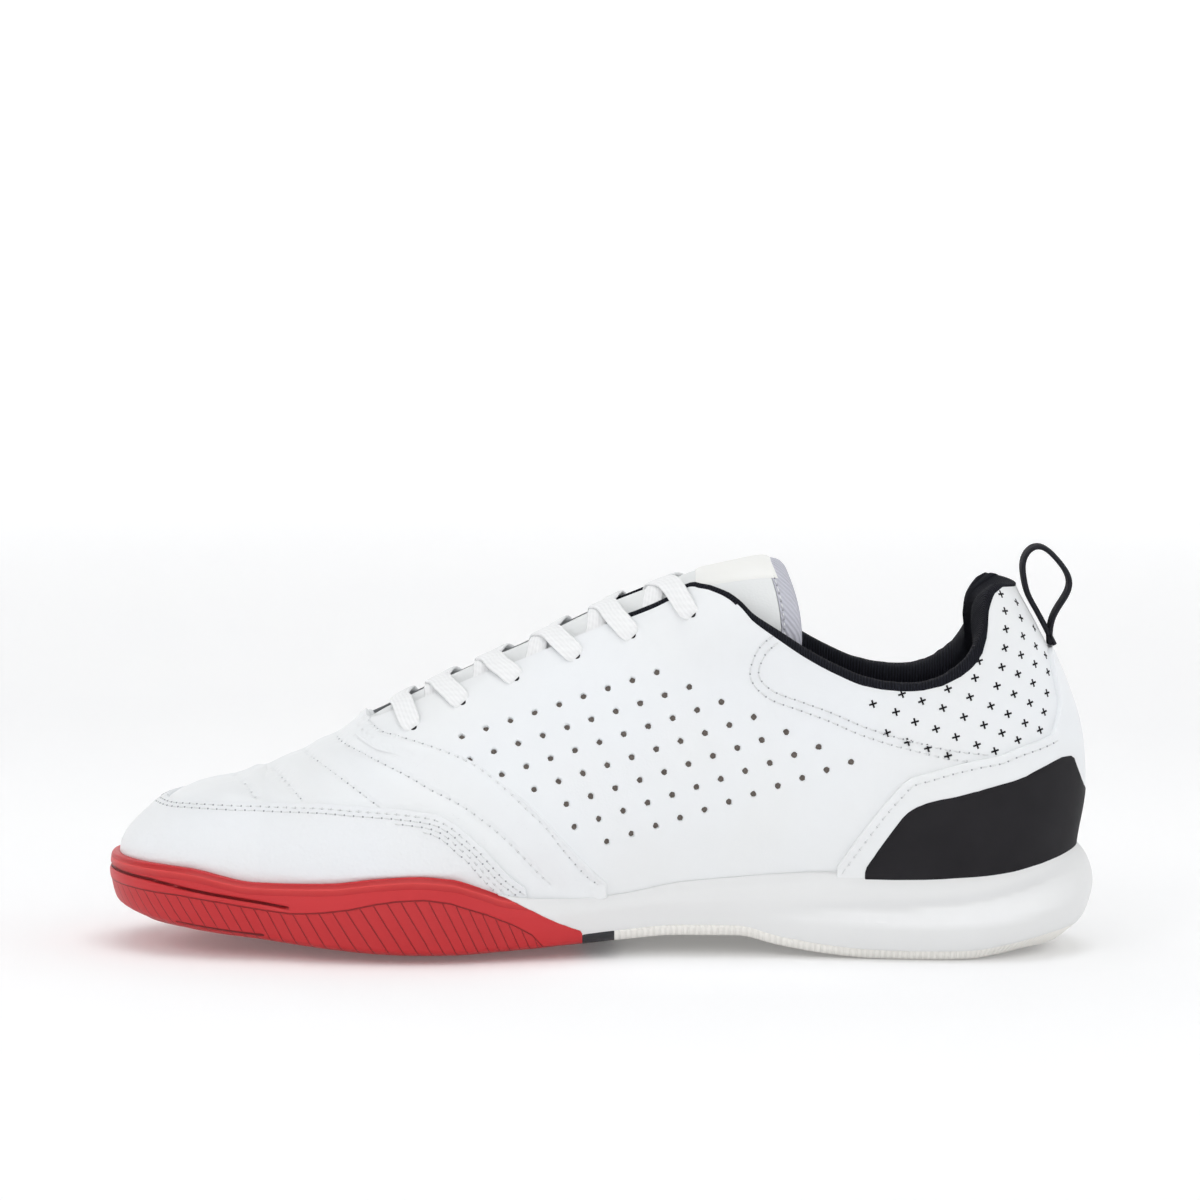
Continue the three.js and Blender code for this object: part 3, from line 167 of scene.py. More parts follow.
outline = table(
    "x medial lateral",
    (-0.34, 0.85, 0.62), (-0.27, 0.955, 0.79), (-0.20, 1.00, 0.925), (-0.14, 0.955, 0.985),
    (-0.11, 0.895, 1.00), (-0.07, 0.82, 0.98), (0.00, 0.69, 0.92), (0.07, 0.63, 0.86),
    (0.14, 0.62, 0.80), (0.21, 0.65, 0.76), (0.28, 0.69, 0.735), (0.355, 0.705, 0.715),
)
tread = table(
    "x inset",
    (-0.50, 0.20), (-0.42, 0.28), (-0.32, 0.42), (-0.12, 0.42), (0.00, 0.24), (0.10, 0.19),
)

# Upper above the rim: wide past the rim in HALF_WIDTH, heights of UPPER_HEIGHT above the footbed
UPPER_NAMES = "x wide wide_z high high_z crest crest_z top"
upper = table(
    UPPER_NAMES,
    (-0.34, 0.011, 0.17, 0.84, 0.315, 0.47, 0.413, 0.449),
    (-0.27, 0.015, 0.18, 0.84, 0.363, 0.45, 0.518, 0.576),
    (-0.20, 0.015, 0.195, 0.83, 0.41, 0.42, 0.64, 0.702),
    (-0.14, 0.015, 0.207, 0.82, 0.455, 0.40, 0.728, 0.795),
    (-0.07, 0.03, 0.235, 0.82, 0.51, 0.41, 0.815, 0.878),
    (0.00, 0.055, 0.264, 0.85, 0.565, 0.46, 0.895, 0.960),
    (0.07, 0.063, 0.288, 0.87, 0.61, 0.56, 0.958, 1.025),
    (0.095, 0.06, 0.288, 0.88, 0.635, 0.68, 0.985, 1.070),
    (0.14, 0.057, 0.277, 0.89, 0.668, 0.78, 0.973, 1.136),
    (0.21, 0.045, 0.255, 0.90, 0.658, 0.84, 0.962, 1.19),
    (0.28, 0.03, 0.241, 0.90, 0.633, 0.83, 0.959, 1.209),
    (0.355, 0.026, 0.239, 0.90, 0.609, 0.79, 0.946, 1.217),
)
# At the tip of the toe and the back of the heel, with wide_z measured from the rim
END_NAMES = UPPER_NAMES.split()[1:-1]
TOE_END = dict(zip(END_NAMES, (0.001, 0.004, 0.79, 0.253, 0.60, 0.30)))
HEEL_END = dict(zip(END_NAMES, (0.043, 0.183, 0.917, 0.58, 0.51, 0.928)))


def mix(a, b, t):
    return a + (b - a) * t


def smooth(t):
    u = min(1.0, max(0.0, t))
    return u * u * (3 - 2 * u)


def spine_y(x):
    return TOE_BIAS * HALF_WIDTH * (1 - smooth((x - TOE_AXIS) / 0.48))


def bed_z(x):
    return sole["bed"](x) * SOLE_HEIGHT


def sole_width(x, side):
    half = outline["medial" if side < 0 else "lateral"](x)
    return half * HALF_WIDTH - side * spine_y(x)


Place = namedtuple("Place", "end x reach angle side")


def places(side, stations, fan):
    """Places along one side's perimeter, from the tip of the toe to the back of the heel."""
    toe = [Place("toe", TOE_AXIS, 0.5 + TOE_AXIS, i / fan * math.pi / 2, side) for i in range(fan)]
    straight = [
        Place("side", mix(TOE_AXIS, HEEL_AXIS, i / stations), 0, math.pi / 2, side)
        for i in range(stations + 1)
    ]
    heel = [
        Place("heel", HEEL_AXIS, 0.5 - HEEL_AXIS, i / fan * math.pi / 2, side)
        for i in reversed(range(fan))
    ]
    return toe + straight + heel


def place_point(place, width, tip, z):
    """Turns a width on the side and a reach at the tip into a point on a rounded end."""
    x, y = place.x * LENGTH, spine_y(place.x)
    if place.end == "side":
        return Vector((x, y + place.side * width, z))
    if width <= 0 or tip <= 0:
        return Vector((x, y, z))
    c, s = math.cos(place.angle), math.sin(place.angle)
    r = ((c / tip) ** ROUNDNESS + (s / width) ** ROUNDNESS) ** (-1 / ROUNDNESS)
    way = -1 if place.end == "toe" else 1
    return Vector((x + way * r * c, y + place.side * r * s, z))


def outline_x(place):
    width, reach = sole_width(place.x, place.side), place.reach * LENGTH
    return place_point(place, width, reach, 0).x / LENGTH


def between(a, b, ta, tb, steps):
    """Steps of a smooth run from a to b that leaves along ta and arrives along tb."""
    out = []
    for i in range(1, steps + 1):
        t = i / steps
        rise, lead, tail = t * t * (3 - 2 * t), t * (1 - t) ** 2, t * t * (1 - t)
        out.append([mix(a[k], b[k], rise) + lead * ta[k] - tail * tb[k] for k in (0, 1)])
    return out


SECTION_STEPS = (1, 9, 18, 20, 20)
STAGES = [-1.0] + [k + (i + 1) / n - 1 for k, n in enumerate(SECTION_STEPS) for i in range(n)]


def half_section(row, rim_width, bed, rim_z, top_z, top_slope):
    """Half section of the upper from the lasted edge to the ridge, as width and height."""
    widest = rim_width + row["wide"] * HALF_WIDTH
    knots = [(rim_width - TUCK * HALF_WIDTH, bed), (rim_width, rim_z)]
    for share, height in ((1, "wide_z"), (row["high"], "high_z"), (row["crest"], "crest_z")):
        knots.append((widest * share, bed + row[height] * UPPER_HEIGHT))
    knots.append((0, top_z))
    aims = []
    for i in range(len(knots)):
        if i == 0:
            aims.append((0.45, 0.9))
        elif i == 2:
            aims.append((0, 1))
        elif i == len(knots) - 1:
            run = math.hypot(1, top_slope)
            aims.append((-1 / run, top_slope / run))
        else:
            (x0, z0), (x1, z1) = knots[i - 1], knots[i + 1]
            span = math.hypot(x1 - x0, z1 - z0)
            aims.append(((x1 - x0) / span, (z1 - z0) / span))
    points = [list(knots[0])]
    for i, count in enumerate(SECTION_STEPS):
        span = math.hypot(knots[i + 1][0] - knots[i][0], knots[i + 1][1] - knots[i][1])
        leave, arrive = [v * span for v in aims[i]], [v * span for v in aims[i + 1]]
        points += between(knots[i], knots[i + 1], leave, arrive, count)
    return points


def rim_width(x, side):
    return sole_width(x, side) - (sole["rim_in"](x) + sole["lip"](x)) * HALF_WIDTH - CLEARANCE


def station_section(x, side):
    row = {name: upper[name](x) for name in upper}
    bed = bed_z(x)
    rim_z = sole["rim"](x) * SOLE_HEIGHT
    return half_section(row, rim_width(x, side), bed, rim_z, bed + row["top"] * UPPER_HEIGHT, 0)


def upper_column(place):
    """One column of the upper's own form, from the lasted edge to the ridge."""
    if place.end == "side":
        return [place_point(place, w, 0, z) for w, z in station_section(place.x, place.side)]
    toe = place.end == "toe"
    end, way, step = (-0.5, 1, 0.002) if toe else (0.5, -1, 0.002)
    top = upper["top"]
    bed = bed_z(place.x)
    rise = bed_z(place.x + way * step) - bed
    rise += (top(place.x + way * step) - top(place.x)) * UPPER_HEIGHT
    slope = max(0, rise / (step * LENGTH))
    reach = place.reach * LENGTH - (sole["rim_in"](end) + sole["lip"](end)) * HALF_WIDTH - CLEARANCE
    rim_z = sole["rim"](end) * SOLE_HEIGHT
    row = dict(TOE_END if toe else HEEL_END)
    row["wide_z"] += (rim_z - bed_z(end)) / UPPER_HEIGHT
    tip = half_section(row, reach, bed_z(end), rim_z, bed + top(place.x) * UPPER_HEIGHT, slope)
    side = station_section(place.x, place.side)
    share = math.sin(place.angle) ** 2
    x = outline_x(place)
    shift = sole["rim"](x) * SOLE_HEIGHT - mix(tip[1][1], side[1][1], share)
    out = []
    for stage, (reach, z), (width, side_z) in zip(STAGES, tip, side):
        height = bed_z(x) if stage < 0 else mix(z, side_z, share) + shift * (1 - stage / 4)
        out.append(place_point(place, width, reach, height))
    return out


# Meshes worked out as points, outward directions and faces
class Skin:
    def __init__(self, points, normals, faces, cut=None):
        self.points = np.asarray(points, float)
        self.normals = np.asarray(normals, float)
        self.faces = faces
        self.cut = np.zeros(len(points), bool) if cut is None else np.asarray(cut, bool)

    def copy(self):
        return Skin(self.points.copy(), self.normals.copy(), list(self.faces), self.cut.copy())

    def refined(self, near):
        """With the four-sided faces where near(points) holds cut into sixteen."""
        marked = near(self.points)
        points, normals, cut = list(self.points), list(self.normals), list(self.cut)
        faces = []
        for face in self.faces:
            if len(face) != 4 or not any(marked[v] for v in face):
                faces.append(face)
                continue
            place = {}
            for i in range(5):
                for j in range(5):
                    u, v = i / 4, j / 4
                    share = ((1 - u) * (1 - v), u * (1 - v), u * v, (1 - u) * v)
                    corner = [k for k, s in zip(face, share) if s == 1]
                    if corner:
                        place[i, j] = corner[0]
                        continue
                    place[i, j] = len(points)
                    points.append(sum(self.points[k] * s for k, s in zip(face, share)))
                    normals.append(sum(self.normals[k] * s for k, s in zip(face, share)))
                    cut.append(False)
            for i in range(4):
                for j in range(4):
                    loop = ((i, j), (i + 1, j), (i + 1, j + 1), (i, j + 1))
                    faces.append(tuple(place[k] for k in loop))
        return welded(points, normals, faces)

    def trimmed(self, keep):
        """The part where keep(points) is above zero, cut cleanly along zero."""
        amount = keep(self.points)
        amount = np.where(np.abs(amount) < 0.12, 0.0, amount)
        points, normals = list(self.points), list(self.normals)
        cut = list(self.cut | (amount == 0))
        met = {}

        def meet(a, b):
            key = (min(a, b), max(a, b))
            if key not in met:
                t = amount[key[0]] / (amount[key[0]] - amount[key[1]])
                points.append(mix(points[key[0]], points[key[1]], t))
                normals.append(mix(normals[key[0]], normals[key[1]], t))
                cut.append(True)
                met[key] = len(points) - 1
            return met[key]

        faces = []
        for face in self.faces:
            signs = [amount[v] for v in face]
            if max(signs) <= 0:
                continue
            if min(signs) >= 0:
                faces.append(face)
                continue
            loop = []
            for a, b in zip(face, face[1:] + face[:1]):
                if amount[a] >= 0:
                    loop.append(a)
                if amount[a] * amount[b] < 0:
                    loop.append(meet(a, b))
            if len(loop) > 2:
                faces.append(tuple(loop))
        return Skin(points, normals, faces, cut).packed()

    def packed(self):
        """Without the points that no face uses."""
        used = sorted({v for face in self.faces for v in face})
        place = {v: i for i, v in enumerate(used)}
        faces = [tuple(place[v] for v in face) for face in self.faces]
        return Skin(self.points[used], self.normals[used], faces, self.cut[used])

    def raised(self, height):
        """Moved outwards by a number, or by height(points)."""
        amount = height(self.points) if callable(height) else np.full(len(self.points), height)
        out = self.copy()
        out.points = self.points + self.normals * np.asarray(amount).reshape(-1, 1)
        return out

    def rims(self):
        """The directed edges that run along a cut."""
        found = {(a, b) for face in self.faces for a, b in zip(face, face[1:] + face[:1])}
        return [(a, b) for a, b in found if (b, a) not in found and self.cut[a] and self.cut[b]]

    def rolled(self, profile):
        """With its cut edges turned down: profile is steps outwards past the edge and up."""
        ways, rims = {}, self.rims()
        for a, b in rims:
            run = self.points[b] - self.points[a]
            for v in (a, b):
                ways[v] = ways.get(v, 0) + np.cross(run, self.normals[v])
        points, normals, faces = list(self.points), list(self.normals), list(self.faces)
        before = {v: v for v in ways}
        for past, up in profile:
            ring = {}
            for v, way in ways.items():
                out = way / max(1e-9, np.linalg.norm(way))
                ring[v] = len(points)
                points.append(self.points[v] + out * past + self.normals[v] * up)
                normals.append(self.normals[v])
            faces += [(before[b], before[a], ring[a], ring[b]) for a, b in rims]
            before = ring
        return Skin(points, normals, faces)

    def flipped(self):
        return Skin(self.points, -self.normals, [tuple(reversed(face)) for face in self.faces])


def welded(points, normals, faces, reach=1e-3):
    """A skin whose equal points are one point, without the faces that lost their area."""
    found, place, kept, ways = {}, [], [], []
    for p, n in zip(points, normals):
        key = tuple(round(c / reach) for c in p)
        if key not in found:
            found[key] = len(kept)
            kept.append(np.array(p, float))
            ways.append(np.zeros(3))
        place.append(found[key])
        ways[found[key]] += np.array(n, float)
    out = []
    for face in faces:
        loop = []
        for v in (place[i] for i in face):
            if v not in loop:
                loop.append(v)
        if len(loop) > 2:
            out.append(tuple(loop))
    ways = [w / max(1e-9, np.linalg.norm(w)) for w in ways]
    return Skin(kept, ways, out)


def grid_normals(grid, closed=True):
    """Outward directions of a grid of points, columns along and rows up."""
    g = np.array([[list(p) for p in column] for column in grid])
    if closed:
        along = np.roll(g, -1, axis=0) - np.roll(g, 1, axis=0)
    else:
        along = np.gradient(g, axis=0)
    up = np.gradient(g, axis=1)
    n = np.cross(along, up)
    return n / np.maximum(1e-9, np.linalg.norm(n, axis=2, keepdims=True))


def grid_skin(grid, normals, closed=True):
    rows = len(grid[0])
    points = [p for column in grid for p in column]
    flat = np.array(normals).reshape(-1, 3)
    faces = []
    for i in range(len(grid) if closed else len(grid) - 1):
        j = (i + 1) % len(grid)
        for k in range(rows - 1):
            a, b = i * rows + k, j * rows + k
            faces.append((a, b, b + 1, a + 1))
    return welded(points, flat, faces)


def ring_of(column, stations, fan):
    """Both sides of the perimeter as one ring, round the toe, the medial side, heel and back."""
    medial = [column(place) for place in places(-1, stations, fan)]
    lateral = [column(place) for place in places(1, stations, fan)]
    return medial + lateral[1:-1][::-1]


UPPER_STATIONS, UPPER_FAN = 150, 38


def make_form():
    ring = ring_of(upper_column, UPPER_STATIONS, UPPER_FAN)
    normals = grid_normals(ring)
    for i, column in enumerate(ring):
        x = column[-1].x / LENGTH
        rise = (bed_z(x + 0.01) + upper["top"](x + 0.01) * UPPER_HEIGHT) - (
            bed_z(x - 0.01) + upper["top"](x - 0.01) * UPPER_HEIGHT
        )
        normals[i, -1] = Vector((-rise / (0.02 * LENGTH), 0, 1)).normalized()
        flat = Vector((normals[i, 1][0], normals[i, 1][1], 0)).normalized()
        normals[i, 0] = flat
    return ring, normals, grid_skin(ring, normals)


upper_ring, upper_ring_normals, form = make_form()
form_tree = BVHTree.FromPolygons([Vector(p) for p in form.points], form.faces)


def cast(origin, way):
    """Where a ray meets the upper's own form, with the way out there, or None."""
    hit, normal, _, _ = form_tree.ray_cast(Vector(origin), Vector(way))
    if hit is None:
        return None
    return hit, normal if normal.dot(Vector(way)) < 0 else -normal


def seen(pixel, lift=0.0):
    """The place on the upper under what shows at a place in the photograph's frame.

    What shows stands a lift in millimetres off the upper's form.
    """
    origin, way = sight(pixel)
    hit = cast(origin, way)
    if hit is None or not lift:
        return hit
    spot, normal = hit
    return form_tree.find_nearest(spot + way * (lift / min(-0.2, way.dot(normal))))[:2]


def on_side(x, z, side):
    return cast((x, side * FAR, z), (0, -side, 0))


def on_top(x, y):
    return cast((x, y, FAR), (0, 0, -1))


def smooth_line(points, step=1.5, steps=None):
    """Points along a smooth line through the given ones, a step apart or steps to each gap."""
    pts = [np.array(p, float) for p in points]
    ends = [2 * pts[0] - pts[1], *pts, 2 * pts[-1] - pts[-2]]
    out = [pts[0]]
    for p0, p1, p2, p3 in zip(ends, ends[1:], ends[2:], ends[3:]):
        count = steps or max(1, int(np.linalg.norm(p2 - p1) / step))
        for i in range(1, count + 1):
            t = i / count
            out.append(0.5 * (
                2 * p1 + (p2 - p0) * t + (2 * p0 - 5 * p1 + 4 * p2 - p3) * t * t
                + (3 * p1 - p0 - 3 * p2 + p3) * t ** 3
            ))
    return out


def drawn(pixels, step=4, lift=0.0):
    """A line of the photograph's frame, carried onto the medial side of the upper."""
    hits = [seen(p, lift) for p in smooth_line(pixels, step)]
    return [hit for hit in hits if hit]


def twin(line):
    """The same line on the lateral side."""
    hits = [on_side(p.x, p.z, 1) for p, _ in line]
    return [hit for hit in hits if hit]


def signed(plan, polygon):
    """Distance of points in a plane from the edge of a polygon, above zero inside it."""
    corners = np.array(polygon, float)
    best = np.full(len(plan), 1e18)
    inside = np.zeros(len(plan), bool)
    for a, b in zip(corners, np.roll(corners, -1, axis=0)):
        run = b - a
        t = np.clip(((plan - a) @ run) / max(1e-12, run @ run), 0, 1)
        best = np.minimum(best, ((plan - a - t[:, None] * run) ** 2).sum(axis=1))
        over = (a[1] > plan[:, 1]) != (b[1] > plan[:, 1])
        with np.errstate(divide="ignore", invalid="ignore"):
            at = a[0] + (plan[:, 1] - a[1]) / (b[1] - a[1]) * run[0]
        inside ^= over & (plan[:, 0] < at)
    return np.sqrt(best) * np.where(inside, 1, -1)


def side_region(polygon):
    """A cutting rule for a region of the side view."""
    return lambda points: signed(points[:, [0, 2]], polygon)


def nearest(points, line):
    """Distance of each point from a line of points in space."""
    spots = np.array([list(p) for p in line])
    best = np.full(len(points), 1e18)
    for chunk in np.array_split(spots, max(1, len(spots) // 64)):
        gap = ((points[:, None, :] - chunk[None, :, :]) ** 2).sum(axis=2).min(axis=1)
        best = np.minimum(best, gap)
    return np.sqrt(best)


# Objects
def piece(name, skin, material, replaces=(), sharp=35, run=None, fields=None):
    """A finished piece of the shoe that rides on its one body.

    run is a place along and across for each point, in mm, and fields are more numbers for each.
    """
    mesh = bpy.data.meshes.new(name)
    mesh.from_pydata([tuple(p * MM) for p in skin.points], [], skin.faces)
    if run is not None:
        layer = mesh.uv_layers.new(name="run")
        corners = np.array([loop.vertex_index for loop in mesh.loops])
        layer.data.foreach_set("uv", np.asarray(run, float)[corners].ravel())
    for key, values in (fields or {}).items():
        layer = mesh.attributes.new(key, "FLOAT", "POINT")
        layer.data.foreach_set("value", np.asarray(values, float))
    return dressed(name, mesh, material, replaces, sharp)


def dressed(name, mesh, material, replaces=(), sharp=35):
    mesh.polygons.foreach_set("use_smooth", [True] * len(mesh.polygons))
    mesh.set_sharp_from_angle(angle=math.radians(sharp))
    mesh.materials.clear()
    mesh.materials.append(material)
    obj = bpy.data.objects.new(name, mesh)
    bpy.context.scene.collection.objects.link(obj)
    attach(obj, "root")
    if replaces:
        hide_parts(*replaces)
    return obj


# Materials
WAVE = 0.31416                 # a band texture of scale 1 repeats each 0.31416


class Wire:
    """A socket of a material that can be worked with as a number."""

    def __init__(self, finish, socket):
        self.finish, self.socket = finish, socket

    def work(self, operation, other, turned=False):
        return self.finish.maths(operation, *((other, self) if turned else (self, other)))

    def __add__(self, other):
        return self.work("ADD", other)

    def __radd__(self, other):
        return self.work("ADD", other)

    def __sub__(self, other):
        return self.work("SUBTRACT", other)

    def __rsub__(self, other):
        return self.work("SUBTRACT", other, True)

    def __mul__(self, other):
        return self.work("MULTIPLY", other)

    def __rmul__(self, other):
        return self.work("MULTIPLY", other)


class Finish:
    """A material under construction."""

    def __init__(self, name):
        self.material = bpy.data.materials.new(name)
        self.material.use_nodes = True
        self.tree = self.material.node_tree
        self.tree.nodes.clear()
        self.place = self.add("ShaderNodeTexCoord", out="Object")

    def add(self, kind, settings=None, inputs=None, out=0):
        node = self.tree.nodes.new(kind)
        for key, value in (settings or {}).items():
            setattr(node, key, value)
        for key, value in (inputs or {}).items():
            if isinstance(value, Wire):
                self.tree.links.new(value.socket, node.inputs[key])
            else:
                node.inputs[key].default_value = value
        return Wire(self, node.outputs[out])

    def maths(self, operation, *values):
        return self.add("ShaderNodeMath", {"operation": operation}, dict(enumerate(values)))

    def field(self, key):
        """A number that the piece's points carry."""
        return self.add("ShaderNodeAttribute", {"attribute_name": key}, out="Fac")

    def noise(self, scale, detail=2.0):
        inputs = {"Vector": self.place, "Scale": scale, "Detail": detail}
        return self.add("ShaderNodeTexNoise", inputs=inputs)

    def cells(self, scale):
        inputs = {"Vector": self.place, "Scale": scale}
        return self.add("ShaderNodeTexVoronoi", inputs=inputs, out="Distance")

    def stripes(self, direction, pitch, distortion=0.0, detail=2.0):
        """Soft bands across the piece's own run, a pitch in millimetres apart."""
        kind = {"wave_type": "BANDS", "bands_direction": direction, "wave_profile": "SIN"}
        run = self.add("ShaderNodeUVMap", {"uv_map": "run"})
        inputs = {"Vector": run, "Scale": WAVE / pitch, "Distortion": distortion, "Detail": detail}
        return self.add("ShaderNodeTexWave", kind, inputs, "Fac")

    def clouded(self, tint, shade, scale=35, low=0.3):
        """A colour that drifts softly between two."""
        return self.blend(self.ramp(self.noise(scale, 3), low, 0.7), tint, shade)

    def blend(self, factor, a, b):
        """A colour between a and b."""
        return self.add(
            "ShaderNodeMix", {"data_type": "RGBA"},
            {"Factor": factor, 6: colour(a), 7: colour(b)}, 2,
        )

    def ramp(self, value, low, high):
        return self.add(
            "ShaderNodeMapRange", {"clamp": True},
            {"Value": value, "From Min": low, "From Max": high},
        )

    def bump(self, height, strength, distance, normal=None):
        inputs = {"Height": height, "Strength": strength, "Distance": distance}
        if normal:
            inputs["Normal"] = normal
        return self.add("ShaderNodeBump", inputs=inputs)

    def done(self, **sockets):
        shader = self.tree.nodes.new("ShaderNodeBsdfPrincipled")
        for key, value in sockets.items():
            socket = shader.inputs[key.replace("_", " ")]
            if isinstance(value, Wire):
                self.tree.links.new(value.socket, socket)
            else:
                socket.default_value = value
        end = self.tree.nodes.new("ShaderNodeOutputMaterial")
        self.tree.links.new(shader.outputs[0], end.inputs[0])
        return self.material


def colour(value):
    """A colour given as three numbers, or a wire as it is."""
    return value if isinstance(value, Wire) else (*value, 1.0)


def leather(name, tint, grain, strength, roughness):
    """Coated leather: a fine cell grain, broad soft unevenness and a little colour drift."""
    f = Finish(name)
    warm = tuple(c * k for c, k in zip(tint, (0.985, 0.975, 0.955)))
    base = f.clouded(tint, warm, 18, 0.35)
    cell = f.cells(grain) * 0.7 + f.noise(grain * 0.6, 3) * 0.5
    soft = f.bump(f.noise(55, 2), 0.25, 0.0012)
    fine = f.bump(cell, strength, 0.00025, soft)
    rough = f.ramp(f.noise(90, 2), 0.2, 0.8) * 0.12 + roughness
    return f.done(Base_Color=base, Roughness=rough, Normal=fine, Specular_IOR_Level=0.42)


def rubber(name, tint, shade, roughness, shine=0.4):
    """Moulded rubber or foam: a matt fine surface with faint clouding."""
    f = Finish(name)
    base = f.clouded(tint, shade)
    skin = f.bump(f.noise(2600, 2), 0.25, 0.00012, f.bump(f.noise(120, 2), 0.12, 0.0006))
    rough = f.ramp(f.noise(60, 3), 0.25, 0.75) * 0.12 + roughness
    return f.done(Base_Color=base, Roughness=rough, Normal=skin, Specular_IOR_Level=shine)


def knit(name, tint, rib):
    """Ribbed knit: rows along the edge of the collar, with a fine loop texture."""
    f = Finish(name)
    bands = f.stripes("X", rib, 0.6, 1.0)
    loops = f.cells(1500)
    base = f.blend(f.ramp(bands, 0.2, 0.9), tuple(c * 0.45 for c in tint), tint)
    lines = f.bump(bands, 0.6, 0.0006)
    fine = f.bump(loops, 0.4, 0.0002, lines)
    return f.done(Base_Color=base, Roughness=0.92, Normal=fine, Specular_IOR_Level=0.2)


def plain_cloth(name, tint, scale, shade=0.7):
    """A close plain weave."""
    f = Finish(name)
    loops = f.cells(scale)
    base = f.blend(f.ramp(loops, 0.1, 0.7), tint, tuple(c * shade for c in tint))
    fine = f.bump(loops, 0.5, 0.0002, f.bump(f.noise(160, 2), 0.2, 0.0006))
    return f.done(Base_Color=base, Roughness=0.9, Normal=fine, Specular_IOR_Level=0.2)


def woven(name, tint, across, along, depth=0.5, shade=0.8):
    """A woven band: threads that pass over and under along the piece's own run."""
    f = Finish(name)
    threads = f.stripes("Y", across) * 0.6 + f.stripes("DIAGONAL", along, 0.4) * 0.4
    base = f.blend(f.ramp(threads, 0.1, 0.8), tuple(c * shade for c in tint), tint)
    fine = f.bump(threads, depth, 0.0004, f.bump(f.noise(900, 2), 0.2, 0.0002))
    return f.done(Base_Color=base, Roughness=0.85, Normal=fine, Specular_IOR_Level=0.25)


def taped_leather(name, tint, tape_tint, grain):
    """Tongue leather whose end and inner side are a woven tape, past the field named tape."""
    f = Finish(name)
    on = f.ramp(f.field("tape"), -0.12, 0.12)
    twill = f.stripes("DIAGONAL", 0.8, 0.5)
    cloth = f.blend(f.ramp(twill, 0.2, 0.8), tuple(c * 0.86 for c in tape_tint), tape_tint)
    base = f.blend(on, f.clouded(tint, tuple(c * 0.97 for c in tint), 18, 0.35), cloth)
    skin = f.bump(f.cells(grain), 0.14, 0.00025, f.bump(f.noise(55, 2), 0.25, 0.0012))
    fine = f.bump(twill * on, 0.5, 0.0004, f.bump(on, 0.8, 0.0005, skin))
    return f.done(Base_Color=base, Roughness=on * 0.3 + 0.5, Normal=fine, Specular_IOR_Level=0.35)


def moulded_foam(name, tint, light, dark):
    """White midsole foam with a fine skin; the field named band paints a highlight on its shelf and
    shade along the crease above it.
    """
    f = Finish(name)
    band = f.field("band")
    # light is the painted highlight of the shelf, dark the painted shade of the crease
    base = f.blend(f.ramp(band, 0.0, 1.0), tint, light)
    base = f.blend(f.ramp(band * -1, 0.0, 0.8), base, dark)
    base = f.blend(f.ramp(f.noise(35, 3), 0.3, 0.7) * 0.4, base, tuple(c * 0.97 for c in tint))
    skin = f.bump(f.noise(2600, 2), 0.25, 0.00012, f.bump(f.noise(120, 2), 0.12, 0.0006))
    rough = f.ramp(f.noise(60, 3), 0.25, 0.75) * 0.12 + 0.5
    return f.done(Base_Color=base, Roughness=rough, Normal=skin, Specular_IOR_Level=0.4)


def ribbed_rubber(name, tint, shade, roughness):
    """The forefoot cup: a scribed line, hairline ribs below it, a slit under the lip; painted shade
    darkens these grooves, and a painted highlight lies along the bead under the lip.
    """
    f = Finish(name)

    def groove(distance, width):
        return 1 - f.ramp(distance, width * 0.45, width)

    below = f.field("below")
    apart = f.maths("ABSOLUTE", f.maths("FRACT", f.field("rib")) - 0.5)
    inside = f.ramp(below, 0.0, 0.25)
    ribs = groove(apart * FRONT_RIB_PITCH, 0.24) * inside
    scribed = groove(f.maths("ABSOLUTE", below), 0.26)
    lip = f.field("lip")
    lip_highlight_bead = f.ramp(lip, 0.3, 1.4) * (1 - f.ramp(lip, 1.8, 3.4))
    lines = f.maths("MAXIMUM", ribs * 0.6, scribed * 0.7)
    deep = f.maths("MAXIMUM", groove(f.field("slit"), 0.5), groove(f.field("notch"), 0.5))
    marks = f.maths("MAXIMUM", lines, deep)
    base = f.clouded(tint, shade)
    field_tint = f.blend(inside * 0.6, base, tuple(c * 0.86 for c in tint))
    # painted shade in the grooves: ribs, scribed line, slit and notch
    dark = f.blend(marks * 0.85, field_tint, tuple(c * 0.16 for c in tint))
    # painted highlight along the bead under the lip
    lit = f.blend(lip_highlight_bead * 0.5, dark, (0.78, 0.075, 0.07))
    form_lines = f.bump(lip_highlight_bead, 0.9, 0.0012, f.bump(1 - marks, 0.8, 0.0008))
    skin = f.bump(f.noise(2600, 2), 0.2, 0.00012, form_lines)
    rough = f.ramp(f.noise(60, 3), 0.25, 0.75) * 0.1 + roughness
    return f.done(Base_Color=lit, Roughness=rough, Normal=skin, Specular_IOR_Level=0.38)


def serrated_rubber(name, tint, shade, roughness):
    """Heel rubber with fine upright ribs along its edge, and painted shade between the ribs."""
    f = Finish(name)
    apart = f.maths("ABSOLUTE", f.maths("FRACT", f.field("rib")) - 0.5)
    ridge = f.ramp(apart, 0.12, 0.3)
    base = f.clouded(tint, shade)
    # painted shade in the grooves between the ribs
    dark = f.blend((1 - ridge) * 0.16, base, tuple(c * 0.6 for c in tint))
    skin = f.bump(ridge, 0.5, 0.0004)
    return f.done(Base_Color=dark, Roughness=roughness, Normal=skin, Specular_IOR_Level=0.35)


WHITE = (0.81, 0.83, 0.85)

